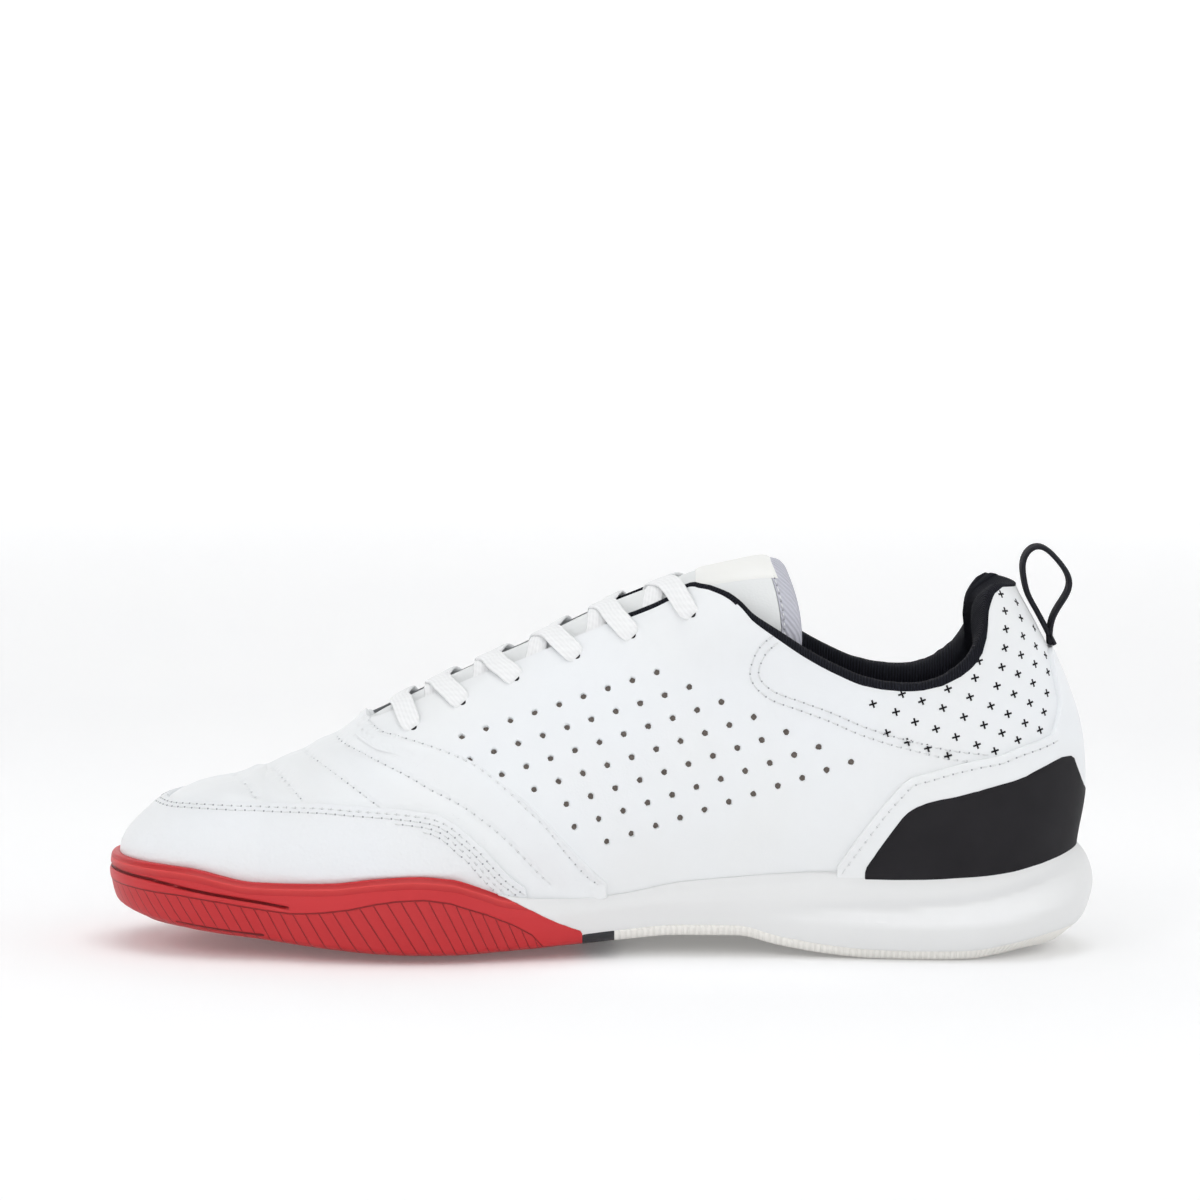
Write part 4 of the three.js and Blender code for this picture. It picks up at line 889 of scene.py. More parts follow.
materials = {
    "leather": leather("white_leather", WHITE, 1500, 0.12, 0.40),
    "grained": leather("grained_leather", (0.80, 0.82, 0.845), 950, 0.45, 0.46),
    "tongue": taped_leather("tongue_leather", (0.76, 0.775, 0.775), (0.56, 0.56, 0.63), 1500),
    "patch": rubber("black_patch", (0.010, 0.0093, 0.0115), (0.014, 0.013, 0.0155), 0.66, 0.22),
    "knit": knit("collar_knit", (0.012, 0.013, 0.020), 0.9),
    "insole": plain_cloth("insole_cloth", (0.05, 0.05, 0.06), 1100),
    "inner": plain_cloth("inner_cloth", (0.60, 0.60, 0.64), 1300, 0.85),
    # the last two colours are the painted highlight and painted shade of the heel facets
    "foam": moulded_foam(
        "white_foam", (0.765, 0.77, 0.77), (0.86, 0.865, 0.87), (0.70, 0.705, 0.71)
    ),
    "red": ribbed_rubber("red_rubber", (0.56, 0.024, 0.029), (0.53, 0.021, 0.026), 0.38),
    "cream": serrated_rubber("cream_rubber", (0.92, 0.905, 0.865), (0.90, 0.88, 0.84), 0.55),
    "bridge": rubber("black_rubber", (0.02, 0.02, 0.024), (0.03, 0.03, 0.034), 0.45),
    "lace": woven("lace_weave", (0.87, 0.875, 0.88), 1.1, 1.5, 0.28, 0.94),
    "webbing": woven("loop_webbing", (0.018, 0.018, 0.024), 1.2, 1.6, 0.7),
    "thread": plain_cloth("sewing_thread", (0.80, 0.81, 0.82), 3000, 0.9),
    # grey discs of painted shade in the needle holes
    "needle": plain_cloth("needle_hole_shade", (0.36, 0.37, 0.39), 3000, 0.9),
    "band": leather("tongue_band_leather", (0.86, 0.865, 0.85), 1400, 0.10, 0.45),
    # dark cloth behind the punched holes: painted shade inside the holes
    "hole": plain_cloth("hole_shade_backing", (0.24, 0.205, 0.18), 2500),
    # also used for the dark discs of painted shade in the lace holes
    "print": plain_cloth("printed_cross", (0.030, 0.029, 0.032), 2500),
}


# Edges of the upper
COLLAR = (
    (0.086, 1.012, 1), (0.105, 0.998, 1), (0.123, 0.975, 1), (0.136, 0.938, 1), (0.147, 0.897, 1),
    (0.175, 0.832, 1), (0.195, 0.788, 1), (0.215, 0.750, 1), (0.236, 0.716, 1), (0.256, 0.688, 1),
    (0.276, 0.674, 0.9), (0.296, 0.668, 0.8), (0.318, 0.671, 0.8), (0.337, 0.685, 1.1),
    (0.355, 0.714, 1.9), (0.366, 0.742, 2.6), (0.375, 0.780, 3.0), (0.381, 0.858, 2.6),
    (0.3815, 0.922, 2.0), (0.387, 0.966, 1.2), (0.396, 0.985, 0.6), (0.405, 0.982, 0.1),
    (0.44, 0.965, -0.5), (0.56, 0.94, -0.5),
)  # x along LENGTH, height of UPPER_HEIGHT above the footbed, how far the lining stands past it
LATERAL_FRONT = ((14, 105.2), (22, 105.2), (29, 105.8), (36, 105.2), (40, 103.6))
THROAT_START = -0.238
throat = table(
    "x half",
    (-0.238, 0.12), (-0.225, 0.19), (-0.20, 0.23), (-0.10, 0.255), (0.00, 0.285), (0.086, 0.33),
    (0.15, 0.36),
)


def side_point(x, z):
    return (x * LENGTH, bed_z(x) + z * UPPER_HEIGHT)


collar_line = smooth_line([side_point(x, z) for x, z, _ in COLLAR], 3)


def throat_plan():
    steps = [mix(THROAT_START, 0.13, (i / 40) ** 1.3) for i in range(41)]
    half = [throat["half"](x) * HALF_WIDTH for x in steps]
    medial = [(x * LENGTH, spine_y(x) - h) for x, h in zip(steps, half)]
    lateral = [(x * LENGTH, spine_y(x) + h) for x, h in zip(steps, half)]
    return medial + lateral[::-1]


def under_collar(points):
    """Above zero below the collar's edge, whose lateral front sits a little lower."""
    medial = [(collar_line[0][0], FAR), *map(tuple, collar_line), (FAR, FAR)]
    rest = [tuple(p) for p in collar_line if p[0] > LATERAL_FRONT[-1][0] + 4]
    lateral = [(LATERAL_FRONT[0][0], FAR), *LATERAL_FRONT, *rest, (FAR, FAR)]
    flat = points[:, [0, 2]]
    return np.where(points[:, 1] > 0, -signed(flat, lateral), -signed(flat, medial))


def beside_throat(points):
    apart = -signed(points[:, [0, 1]], throat_plan())
    low = bed_z(THROAT_START) + 0.35 * UPPER_HEIGHT
    return np.where(points[:, 2] > low, apart, FAR)


def open_upper(points):
    return np.minimum(under_collar(points), beside_throat(points))


# Lines of the upper, at their places in the photograph's frame
QUARTER_SEAM = (
    (352, 712), (368, 720), (380, 731), (400, 737), (440, 750), (475, 766), (505, 789), (525, 808),
    (545, 827), (563, 850), (585, 875), (597, 884),
)
GUARD_EDGE = (
    (160, 797), (200, 800), (240, 802), (280, 803), (320, 804), (360, 807), (400, 810), (430, 814),
    (445, 819), (458, 827), (468, 836), (480, 846), (490, 857), (500, 868), (510, 878), (526, 890),
)
CHANNELS = (
    ((235, 775), (245, 783), (256, 797)),
    ((271, 763), (273, 768), (285, 780), (302, 800)),
    ((303, 750), (320, 762), (340, 777), (365, 796), (378, 806)),
    ((335, 734), (345, 743), (375, 759), (410, 777), (430, 789), (461, 805), (485, 822),
     (505, 839), (524, 858), (540, 875), (550, 884)),
)
COUNTER_EDGE = (
    (1055, 735), (1040, 742), (1020, 749), (1000, 757), (980, 761), (950, 768), (930, 774),
    (915, 778), (905, 784), (895, 795), (885, 806), (872, 822), (860, 838), (838, 868),
)
PATCH_EDGE = (
    (1081, 795), (1077, 790), (1074, 775), (1071, 761), (1068, 758), (1063, 758), (1055, 762),
    (1040, 770), (1020, 780), (1000, 786), (960, 797), (940, 801), (922, 806), (908, 814),
    (900, 823), (880, 850), (866, 870),
)


# Where the counter and its patch end round the back, as shares of LENGTH and UPPER_HEIGHT
COUNTER_STRIP = ((0.456, 0.60), (0.449, 0.70), (0.446, 0.765), (0.52, 0.78))
PATCH_TAIL = ((0.466, 0.438), (0.476, 0.360), (0.484, 0.308), (0.52, 0.30))


def side_line(pixels, lift=0.0):
    """A line of the photograph's frame as x and z of the side view."""
    return [(p.x, p.z) for p, _ in drawn(pixels, 4, lift)]


def guard_region():
    line = side_line(GUARD_EDGE, 1.3)
    return [(-FAR, line[0][1]), *line, (line[-1][0] + 4, -FAR), (-FAR, -FAR)]


def counter_region():
    line = side_line(COUNTER_EDGE, 2.1)
    strip = [side_point(x, z) for x, z in COUNTER_STRIP]
    return [(FAR, strip[-1][1]), *strip[::-1][1:], *line, (line[-1][0] - 3, -FAR), (FAR, -FAR)]


def patch_region():
    line = side_line(PATCH_EDGE[5:], 2.4)[::-1]
    tail = [side_point(x, z) for x, z in PATCH_TAIL]
    return [(line[0][0] - 3, -FAR), *line, *tail, (FAR, tail[-1][1]), (FAR, -FAR)]


EDGE_ROLL = ((0.18, -0.10), (0.32, -0.35))


def leather_panel(name, skin, height, depth, material, replaces=()):
    """A leather piece whose cut edge turns down onto what it is sewn to."""
    shaped = skin.raised(height).rolled((*EDGE_ROLL, (0.32, -depth)))
    return piece(name, shaped, material, replaces)


def points_of(line):
    return [p for p, _ in line]


def both_sides(line):
    """A line of the medial side and its twin, as two lines."""
    return [line, twin(line)]


def beside(line, distance, lift=0.0):
    """A line moved along the surface, to its right seen from outside, and lifted off it."""
    out = []
    for i, (p, n) in enumerate(line):
        run = line[min(i + 1, len(line) - 1)][0] - line[max(i - 1, 0)][0]
        side = run.cross(n).normalized()
        out.append((p + side * distance + n * lift, n))
    return out


def laid(line, distance=0.0, height=0.0):
    """A medial line and its twin, moved along the surface and laid on it at a height."""
    rows = []
    for side in both_sides(beside(line, distance)):
        row = [form_tree.find_nearest(p)[:2] for p, _ in side]
        spots = np.array([list(p) for p, _ in row])
        lifts = height(spots) if callable(height) else [height] * len(row)
        rows.append([(p + n * float(lift), n) for (p, n), lift in zip(row, lifts)])
    return rows


def near_lines(lines):
    """How far points are from the nearest of some lines."""
    def gap(points):
        out = np.full(len(points), 1e9)
        for line in lines:
            out = np.minimum(out, nearest(points, line))
        return out
    return gap


class Grower:
    """A Geometry Nodes tree under construction, with its sizes as named inputs."""

    def __init__(self, name, sizes):
        self.group = bpy.data.node_groups.new(name, "GeometryNodeTree")
        faces = self.group.interface
        faces.new_socket("Geometry", in_out="INPUT", socket_type="NodeSocketGeometry")
        faces.new_socket("Geometry", in_out="OUTPUT", socket_type="NodeSocketGeometry")
        self.keys = {
            size: faces.new_socket(size, in_out="INPUT", socket_type="NodeSocketFloat").identifier
            for size in sizes
        }
        self.entry = self.group.nodes.new("NodeGroupInput")

    def size(self, name):
        return self.entry.outputs[name]

    def add(self, kind, settings=None, inputs=None, out=0):
        node = self.group.nodes.new(kind)
        for key, value in (settings or {}).items():
            setattr(node, key, value)
        for key, value in (inputs or {}).items():
            if isinstance(value, bpy.types.NodeSocket):
                self.group.links.new(value, node.inputs[key])
            else:
                node.inputs[key].default_value = value
        return node.outputs[out]

    def vector(self, x, y, z):
        return self.add("ShaderNodeCombineXYZ", inputs={"X": x, "Y": y, "Z": z})

    def kept(self, name):
        """A vector that the points carry."""
        return self.add(
            "GeometryNodeInputNamedAttribute", {"data_type": "FLOAT_VECTOR"}, {"Name": name}
        )

    def placed(self, spots, shape, along, finish):
        """Copies of a shape at the spots, standing along their up and turned along their run."""
        standing = self.add(
            "FunctionNodeAlignRotationToVector", {"axis": "Z"}, {"Vector": self.kept("up")}
        )
        turned = self.add(
            "FunctionNodeAlignRotationToVector", {"axis": "X", "pivot_axis": "Z"},
            {"Rotation": standing, "Vector": along},
        )
        copies = self.add(
            "GeometryNodeInstanceOnPoints",
            inputs={"Points": spots, "Instance": shape, "Rotation": turned},
        )
        real = self.add("GeometryNodeRealizeInstances", inputs={"Geometry": copies})
        done = self.add("GeometryNodeSetMaterial", inputs={"Geometry": real, "Material": finish})
        end = self.group.nodes.new("NodeGroupOutput")
        self.group.links.new(done, end.inputs[0])

    def grown(self, name, spots, ups, alongs, edges, sizes, finish, slot):
        """The tree's result on a set of points or lines, as a plain piece."""
        mesh = bpy.data.meshes.new(name)
        mesh.from_pydata([tuple(Vector(p) * MM) for p in spots], edges, [])
        for key, values in (("up", ups), ("along", alongs)):
            layer = mesh.attributes.new(key, "FLOAT_VECTOR", "POINT")
            layer.data.foreach_set("vector", [c for v in values for c in v])
        maker = bpy.data.objects.new(name + "_maker", mesh)
        bpy.context.scene.collection.objects.link(maker)
        growth = maker.modifiers.new("growth", "NODES")
        growth.node_group = self.group
        for size, value in sizes.items():
            growth[self.keys[size]] = value * MM
        seen_now = bpy.context.evaluated_depsgraph_get()
        result = bpy.data.meshes.new_from_object(maker.evaluated_get(seen_now))
        bpy.data.objects.remove(maker)
        result.name = name
        return dressed(name, result, finish, sharp=60)


def seam_grower(finish):
    """Stitches laid along seams: short rounded lengths of thread, evenly spaced."""
    g = Grower("stitches", ("Pitch", "Length", "Width", "Height"))
    lines = g.add("GeometryNodeMeshToCurve", inputs={"Mesh": g.entry.outputs["Geometry"]})
    spots = g.add(
        "GeometryNodeResampleCurve", {"mode": "LENGTH"}, {"Curve": lines, "Length": g.size("Pitch")}
    )
    ball = g.add("GeometryNodeMeshUVSphere", inputs={"Segments": 6, "Rings": 4, "Radius": 0.5})
    scale = g.vector(g.size("Length"), g.size("Width"), g.size("Height"))
    thread = g.add("GeometryNodeTransform", inputs={"Geometry": ball, "Scale": scale})
    g.placed(spots, thread, g.add("GeometryNodeInputTangent"), finish)
    return g


def dot_grower(name, finish, corners):
    """Small flat round marks, such as needle holes, at single points."""
    g = Grower(name, ("Radius", "Height"))
    disc = g.add(
        "GeometryNodeMeshCylinder", {"fill_type": "NGON"},
        {"Vertices": corners, "Radius": g.size("Radius"), "Depth": g.size("Height")},
    )
    g.placed(g.entry.outputs["Geometry"], disc, g.kept("along"), finish)
    return g


def cross_grower(finish):
    """Printed plus signs: two thin bars each, turned along their along."""
    g = Grower("crosses", ("Length", "Width", "Height"))
    long, wide, high = g.size("Length"), g.size("Width"), g.size("Height")
    bars = [
        g.add("GeometryNodeMeshCube", inputs={"Size": g.vector(*size)})
        for size in ((long, wide, high), (wide, long, high))
    ]
    both = g.group.nodes.new("GeometryNodeJoinGeometry")
    for bar in bars:
        g.group.links.new(bar, both.inputs[0])
    g.placed(g.entry.outputs["Geometry"], both.outputs[0], g.kept("along"), finish)
    return g


STITCH = {"Pitch": 2.8, "Length": 2.1, "Width": 0.46, "Height": 0.44}


def even(line, pitch, start=0.0):
    """Places at an even pitch along a line, with their way out and run."""
    spots, travelled, want = [], 0.0, start
    for (p, n), (q, _) in zip(line, line[1:]):
        step = (q - p).length
        while step > 0 and want <= travelled + step:
            t = (want - travelled) / step
            spots.append((p.lerp(q, t), n, (q - p).normalized()))
            want += pitch
        travelled += step
    return spots


def sew(name, rows, slot):
    """Seams: the thread's stitches, and flat grey discs between them as painted shade of the needle
    holes.
    """
    spots, ups, edges, holes = [], [], [], []
    for line in rows:
        if len(line) < 3:
            continue
        first = len(spots)
        spots += [p for p, _ in line]
        ups += [n for _, n in line]
        edges += [(i, i + 1) for i in range(first, len(spots) - 1)]
        holes += even(line, STITCH["Pitch"], STITCH["Pitch"] / 2)
    thread = materials["thread"]
    seam_grower(thread).grown(name + "_stitches", spots, ups, ups, edges, STITCH, thread, slot)
    # painted shade of the needle holes, as flat grey discs
    dots = dot_grower(name + "_holes", materials["needle"], 6)
    dots.grown(
        name + "_needle_holes", [p for p, _, _ in holes], [n for _, n, _ in holes],
        [a for _, _, a in holes], [], {"Radius": 0.27, "Height": 0.3}, materials["needle"], slot,
    )


VAMP_EDGE = (
    (352, 712), (368, 719), (380, 729), (400, 735), (440, 748), (475, 763), (505, 786), (522, 799),
    (545, 821), (575, 854), (600, 879), (606, 884),
)
COLLAR_SEAM = (
    (773, 641.5), (766, 647), (760, 655), (755, 668), (755, 678), (762, 688), (775, 697),
    (800, 706), (830, 717), (860, 730), (890, 740), (920, 748), (950, 755), (985, 759),
)
# Cloth behind the punched holes, in side view, coloured dark as painted shade inside the holes
PANEL_BACK = ((-60, 38), (-48, 80), (20, 94), (76, 66), (74, 52), (4, 30), (-20, 34))
HOLE_START, HOLE_ALONG, HOLE_DOWN = (461.5, 736), (24.4, -8), (8, 23)
HOLE_ROWS = ((0, 8), (0, 9), (1, 10), (2, 11), (3, 12), (3, 13), (4, 14))
CROSSES = (
    (873, 704), (887, 733), (896, 712), (902, 694), (908, 742), (915, 722), (922, 701), (928, 748),
    (936, 729), (943, 708), (948, 756), (948, 689), (956, 737), (964, 717), (970, 697), (975, 678),
    (977, 745), (979, 661), (984, 725), (991, 706), (997, 686), (995, 751), (1002, 733),
    (1002, 667), (1005, 648), (1006, 629), (1005, 611), (1001, 594), (1008, 714), (1014, 694),
    (1018, 674),
    (1021, 655), (1023, 636), (1021, 618), (1017, 602), (1018, 740), (1025, 723), (1030, 703),
    (1033, 683), (1035, 664), (1036, 646), (1034, 628), (1040, 730), (1044, 712), (1047, 693),
    (1048, 672), (1046, 655),
)


def vamp_region():
    line = side_line(VAMP_EDGE, 1.1)
    return [(line[0][0], FAR), *line, (line[-1][0] + 2, -FAR), (-FAR, -FAR), (-FAR, FAR)]


def ventilation():
    """Centres of the punched holes: rows down and to the rear, each row up and to the rear."""
    spots = []
    for j, (first, last) in enumerate(HOLE_ROWS):
        for i in range(first, last + 1):
            pixel = [HOLE_START[k] + HOLE_ALONG[k] * i + HOLE_DOWN[k] * j for k in (0, 1)]
            hit = seen(pixel, PANEL_STEP)
            if hit:
                spots += [hit, on_side(hit[0].x, hit[0].z, 1)]
    return [spot for spot in spots if spot]


def vamp_lines():
    """The sewn channels across the vamp and the stitch row along its rear edge."""
    channels = [points_of(side) for line in CHANNELS for side in both_sides(drawn(line, 3))]
    row = [points_of(side) for side in both_sides(drawn(QUARTER_SEAM, 3, 0.8))]
    return near_lines(channels), near_lines(row)


def vamp_height():
    """How far the vamp stands off the upper's own form: quilted rolls between sewn channels."""
    channel_gap, row_gap = vamp_lines()
    vamp, guard = side_region(vamp_region()), side_region(guard_region())

    def height(points):
        gap, seam, inside = channel_gap(points), row_gap(points), vamp(points)
        roll = 1.25 * (1 - np.exp(-((np.minimum(gap, seam + 2.5) / 6.0) ** 2)))
        crease = 0.55 * np.exp(-((gap / 0.9) ** 2)) + 0.45 * np.exp(-((seam / 0.8) ** 2))
        lap = np.clip((6 - inside) / 6, 0, 1)
        lap = 1.15 * lap * lap * (3 - 2 * lap) * np.clip(inside / 0.8 + 0.6, 0, 1)
        clear = np.clip(-guard(points) / 2.2, 0, 1)
        return (lap + roll - crease) * clear + 0.05

    return height


def make_upper():
    whole = form.trimmed(open_upper)
    vamp = vamp_region()
    height = vamp_height()
    channel_gap, row_gap = vamp_lines()
    fine = form.refined(lambda p: np.minimum(channel_gap(p), row_gap(p)) < 2.4)
    front = fine.trimmed(open_upper).trimmed(side_region(vamp))
    leather_panel("vamp", front, height, 3.2, materials["leather"], ("upper",))

    holes = ventilation()
    spots = [p for p, _ in holes]
    rear = whole.trimmed(lambda p: 5 - side_region(vamp)(p))
    rear = rear.refined(lambda p: nearest(p, spots) < 2.4)
    seam = [points_of(side) for side in both_sides(drawn(COLLAR_SEAM, 3, PANEL_STEP))]

    def quarter_height(points):
        gap = np.minimum(nearest(points, seam[0]), nearest(points, seam[1]))
        return PANEL_STEP - 0.30 * np.exp(-((gap / 0.8) ** 2))

    punched = rear.trimmed(lambda p: nearest(p, spots) - HOLE_RADIUS)
    leather_panel(
        "quarter", punched, quarter_height, 2.6, materials["leather"], ("upper",)
    )
    # the backing's dark colour is painted shade inside the punched holes
    backing = form.trimmed(lambda p: open_upper(p) - 4)
    backing = backing.trimmed(side_region(PANEL_BACK)).raised(-0.5)
    piece("quarter_backing_shade", backing, materials["hole"])

    guard = form.trimmed(side_region(guard_region()))
    leather_panel(
        "toe_guard_leather", guard, CLEARANCE + GUARD_THICKNESS, 1.3, materials["grained"],
        ("toe_guard",),
    )
    patch_shape = patch_region()
    counter = form.trimmed(side_region(counter_region()))
    counter = counter.trimmed(lambda p: 1.0 - side_region(patch_shape)(p))
    leather_panel(
        "heel_counter_leather", counter, PANEL_STEP + CLEARANCE + COUNTER_THICKNESS, 1.6,
        materials["leather"], ("heel_counter",),
    )
    patch = form.trimmed(side_region(patch_shape))
    leather_panel(
        "heel_patch_film", patch, PANEL_STEP + CLEARANCE + PATCH_THICKNESS, 1.0,
        materials["patch"], ("heel_patch",),
    )
    ring = ring_of(upper_column, 60, 12)
    coarse = grid_skin([column[::4] for column in ring], grid_normals(ring)[:, ::4])
    inner = coarse.trimmed(open_upper).raised(-WALL).flipped()
    piece("inner_lining", inner, materials["inner"])


def sew_upper():
    height = vamp_height()
    rows = []
    for line in [drawn(line, 3) for line in CHANNELS] + [drawn(QUARTER_SEAM, 3, 0.8)]:
        rows += laid(line, 0, lambda p: height(p) + 0.06)
    sew("vamp", rows, "white_leather")

    guard = drawn(GUARD_EDGE, 3, 1.3)
    rows = []
    for first, gap in ((0, 1.5), (0, 3.0), (0.62, 4.4), (0.7, 5.8)):
        rows += laid(guard[int(len(guard) * first):], gap, CLEARANCE + GUARD_THICKNESS + 0.05)
    sew("toe_guard", rows, "grained_leather")

    seam = drawn(COLLAR_SEAM, 3, PANEL_STEP)
    rows = laid(seam, -1.25, PANEL_STEP + 0.05) + laid(seam, 1.25, PANEL_STEP + 0.05)
    sew("collar_panel", rows, "white_leather")
    height = PANEL_STEP + CLEARANCE + COUNTER_THICKNESS + 0.05
    sew("heel_counter", laid(drawn(COUNTER_EDGE, 3, 2.1), -2.0, height), "counter_leather")


def print_crosses():
    spots, ups, alongs = [], [], []
    for i, pixel in enumerate(CROSSES):
        hit = seen(pixel, PANEL_STEP)
        if not hit:
            continue
        for found in (hit, on_side(hit[0].x, hit[0].z, 1)):
            if found:
                p, n = found
                spots.append(p + n * (PANEL_STEP + 0.03))
                ups.append(n)
                tilt = math.radians(18 + 4 * math.sin(i * 2.4))
                alongs.append(Vector((math.cos(tilt), 0, math.sin(tilt))))
    finish = materials["print"]
    sizes = {"Length": 2.35, "Width": 0.55, "Height": 0.1}
    crosses = cross_grower(finish)
    crosses.grown("printed_crosses", spots, ups, alongs, [], sizes, finish, "black_patch")


# Collar
def edge_samplers():
    """Each column of the form that the collar's edge crosses, and where it does."""
    rolls = smooth_line([(*side_point(x, z), roll) for x, z, roll in COLLAR], 2)
    out = []
    for column, normals in zip(upper_ring, upper_ring_normals):
        points = np.array([list(p) for p in column])
        keep = under_collar(points)
        over = [k for k in range(4, len(points) - 1) if keep[k] > 0 >= keep[k + 1]]
        if not over:
            continue
        k = over[0]
        run = np.concatenate(([0], np.cumsum(np.linalg.norm(np.diff(points, axis=0), axis=1))))
        zero = run[k] + keep[k] / (keep[k] - keep[k + 1]) * (run[k + 1] - run[k])
        spot = points[k]
        near = min(rolls, key=lambda r: (r[0] - spot[0]) ** 2 + (r[1] - spot[2]) ** 2)
        out.append((points, normals, run, zero, near[2]))
    return out


def sampled(sampler, above, inward):
    points, normals, run, zero, _ = sampler
    p = [np.interp(zero + above, run, points[:, k]) for k in range(3)]
    n = [np.interp(zero + above, run, normals[:, k]) for k in range(3)]
    n = np.array(n) / max(1e-9, np.linalg.norm(n))
    return np.array(p) - n * inward


def make_collar():
    """The padded knit round the ankle: up inside the wall, over its edge, down to the leather."""
    columns, runs = [], []
    travelled, before = 0.0, None
    for sampler in edge_samplers():
        points, _, run, zero, roll = sampler
        x = np.interp(zero, run, points[:, 0]) / LENGTH
        if x < 0.106:
            continue
        heel = smooth((x - 0.22) / 0.14)
        rise = (0.6 + 1.5 * max(0.1, roll)) * mix(0.35, 1.0, smooth((x - 0.106) / 0.03))
        thick = mix(SIDE_PADDING, HEEL_PADDING, heel) * mix(0.55, 1.0, smooth((x - 0.11) / 0.05))
        inner = WALL + CLEARANCE
        profile = [
            (-25, inner + 0.1), (-23.5, inner + 0.45 * thick), (-20, inner + 0.8 * thick),
            (-15, inner + 0.95 * thick), (-9, inner + thick), (-4, inner + 1.0 * thick),
            (-1.2, inner + 0.95 * thick), (rise * 0.45, inner + 0.72 * thick),
            (rise * 0.85, inner + 0.40 * thick), (rise, inner + 0.05 * thick - 0.4),
            (rise * 0.93, 0.6), (rise * 0.7, -0.25), (rise * 0.42, -0.75), (0.05, -0.95),
            (-0.5, -0.6), (-0.7, 0.3),
        ]
        column = [sampled(sampler, s, o) for s, o in smooth_line(profile, steps=3)]
        if before is not None:
            travelled += float(np.linalg.norm(column[0] - before))
        before = column[0]
        columns.append(column)
        steps = np.linalg.norm(np.diff(column, axis=0), axis=1)
        runs += [(travelled, v) for v in np.concatenate(([0], np.cumsum(steps)))]
    grid = np.array(columns)
    normals = -grid_normals(grid, closed=False)
    rows = grid.shape[1]
    faces = []
    for i in range(len(grid) - 1):
        for k in range(rows - 1):
            a, b = i * rows + k, (i + 1) * rows + k
            faces.append((a, a + 1, b + 1, b))
    skin = Skin(grid.reshape(-1, 3), normals.reshape(-1, 3), faces)
    collar = piece(
        "collar_padding", skin, materials["knit"], ("collar_lining",), 60, runs
    )


def tube_faces(steps, count):
    """Faces of a closed tube: loops of count places, and a flat face at each end."""
    faces = []
    for i in range(steps - 1):
        for k in range(count):
            a, b = i * count + k, i * count + (k + 1) % count
            faces.append((a, b, b + count, a + count))
    last = (steps - 1) * count
    return faces + [tuple(reversed(range(count))), tuple(range(last, last + count))]


def swept(path, ups, section):
    """A strip or cord along a path: section is places across and up, in mm, for each step."""
    points, normals, runs = [], [], []
    travelled = 0.0
    for i, (p, up) in enumerate(zip(path, ups)):
        run = Vector(path[min(i + 1, len(path) - 1)]) - Vector(path[max(i - 1, 0)])
        if i:
            travelled += (Vector(p) - Vector(path[i - 1])).length
        across = run.cross(Vector(up)).normalized()
        over = across.cross(run).normalized()
        for a, b in section(i / (len(path) - 1)):
            points.append(np.array(Vector(p) + across * a + over * b))
            normals.append(np.array((across * a + over * b * 3).normalized()))
            runs.append((travelled, a))
    return Skin(points, normals, tube_faces(len(path), len(section(0)))), runs


def oval(width, height, corners=12):
    """A flat rounded section."""
    out = []
    for k in range(corners):
        turn = 2 * math.pi * (k + 0.5) / corners
        c, s = math.cos(turn), math.sin(turn)
        across = width / 2 * math.copysign(abs(c) ** 0.55, c)
        out.append((across, height / 2 * math.copysign(abs(s) ** 0.8, s)))
    return out


def opening_edge():
    """The edge of the throat and collar as one loop of places with their way out."""
    skin = form.trimmed(open_upper)
    follow = dict(skin.rims())
    start = next(iter(follow))
    loop, here = [], start
    while True:
        loop.append((Vector(skin.points[here]), Vector(skin.normals[here]).normalized()))
        here = follow.get(here)
        if here is None or here == start:
            return loop


def make_binding():
    """Dark piping along the lace edge below the ankle and up the front of the collar."""
    loop = opening_edge()
    for name, side in (("medial", -1), ("lateral", 1)):
        part = [
            (p, n) for p, n in loop
            if 1.0 < p.x < 41 and (p.y - spine_y(p.x / LENGTH)) * side > 4 and p.z > 90
        ]
        part.sort(key=lambda spot: spot[0].x)
        part = part[::2]
        line = smooth_line([list(p - n * 0.1) for p, n in part], 1.2)
        ways = [n for _, n in part]
        last, final = max(1, len(line) - 1), len(ways) - 1
        ups = [ways[min(final, round(i / last * final))] for i in range(len(line))]
        skin, runs = swept([Vector(p) for p in line], ups, lambda t: oval(2.1, 2.2, 10))
        piece("collar_binding_" + name, skin, materials["knit"], (), 60, runs)


# Tongue
TONGUE_THICKNESS, TONGUE_WIDTH = 5.0, 50.0
TONGUE_START, TONGUE_END = -0.255, 0.180
tongue = table(
    "x half ridge edge",
    (-0.262, 0.56, 0.60, 0.55), (-0.16, 0.78, 0.755, 0.66), (-0.08, 0.90, 0.85, 0.74),
    (0.00, 0.94, 0.938, 0.80), (0.055, 0.94, 0.994, 0.83), (0.085, 0.92, 1.028, 0.84),
    (0.125, 0.90, 1.050, 0.83), (0.160, 0.90, 1.064, 0.81), (0.180, 0.90, 1.052, 0.80),
)


def top_height(x, y):
    """Height of the upper's own form at a plan place, and its way out."""
    hit = on_top(x * LENGTH, y)
    if hit:
        return hit[0].z, hit[1]
    return bed_z(x) + upper["top"](x) * UPPER_HEIGHT, Vector((0, 0, 1))


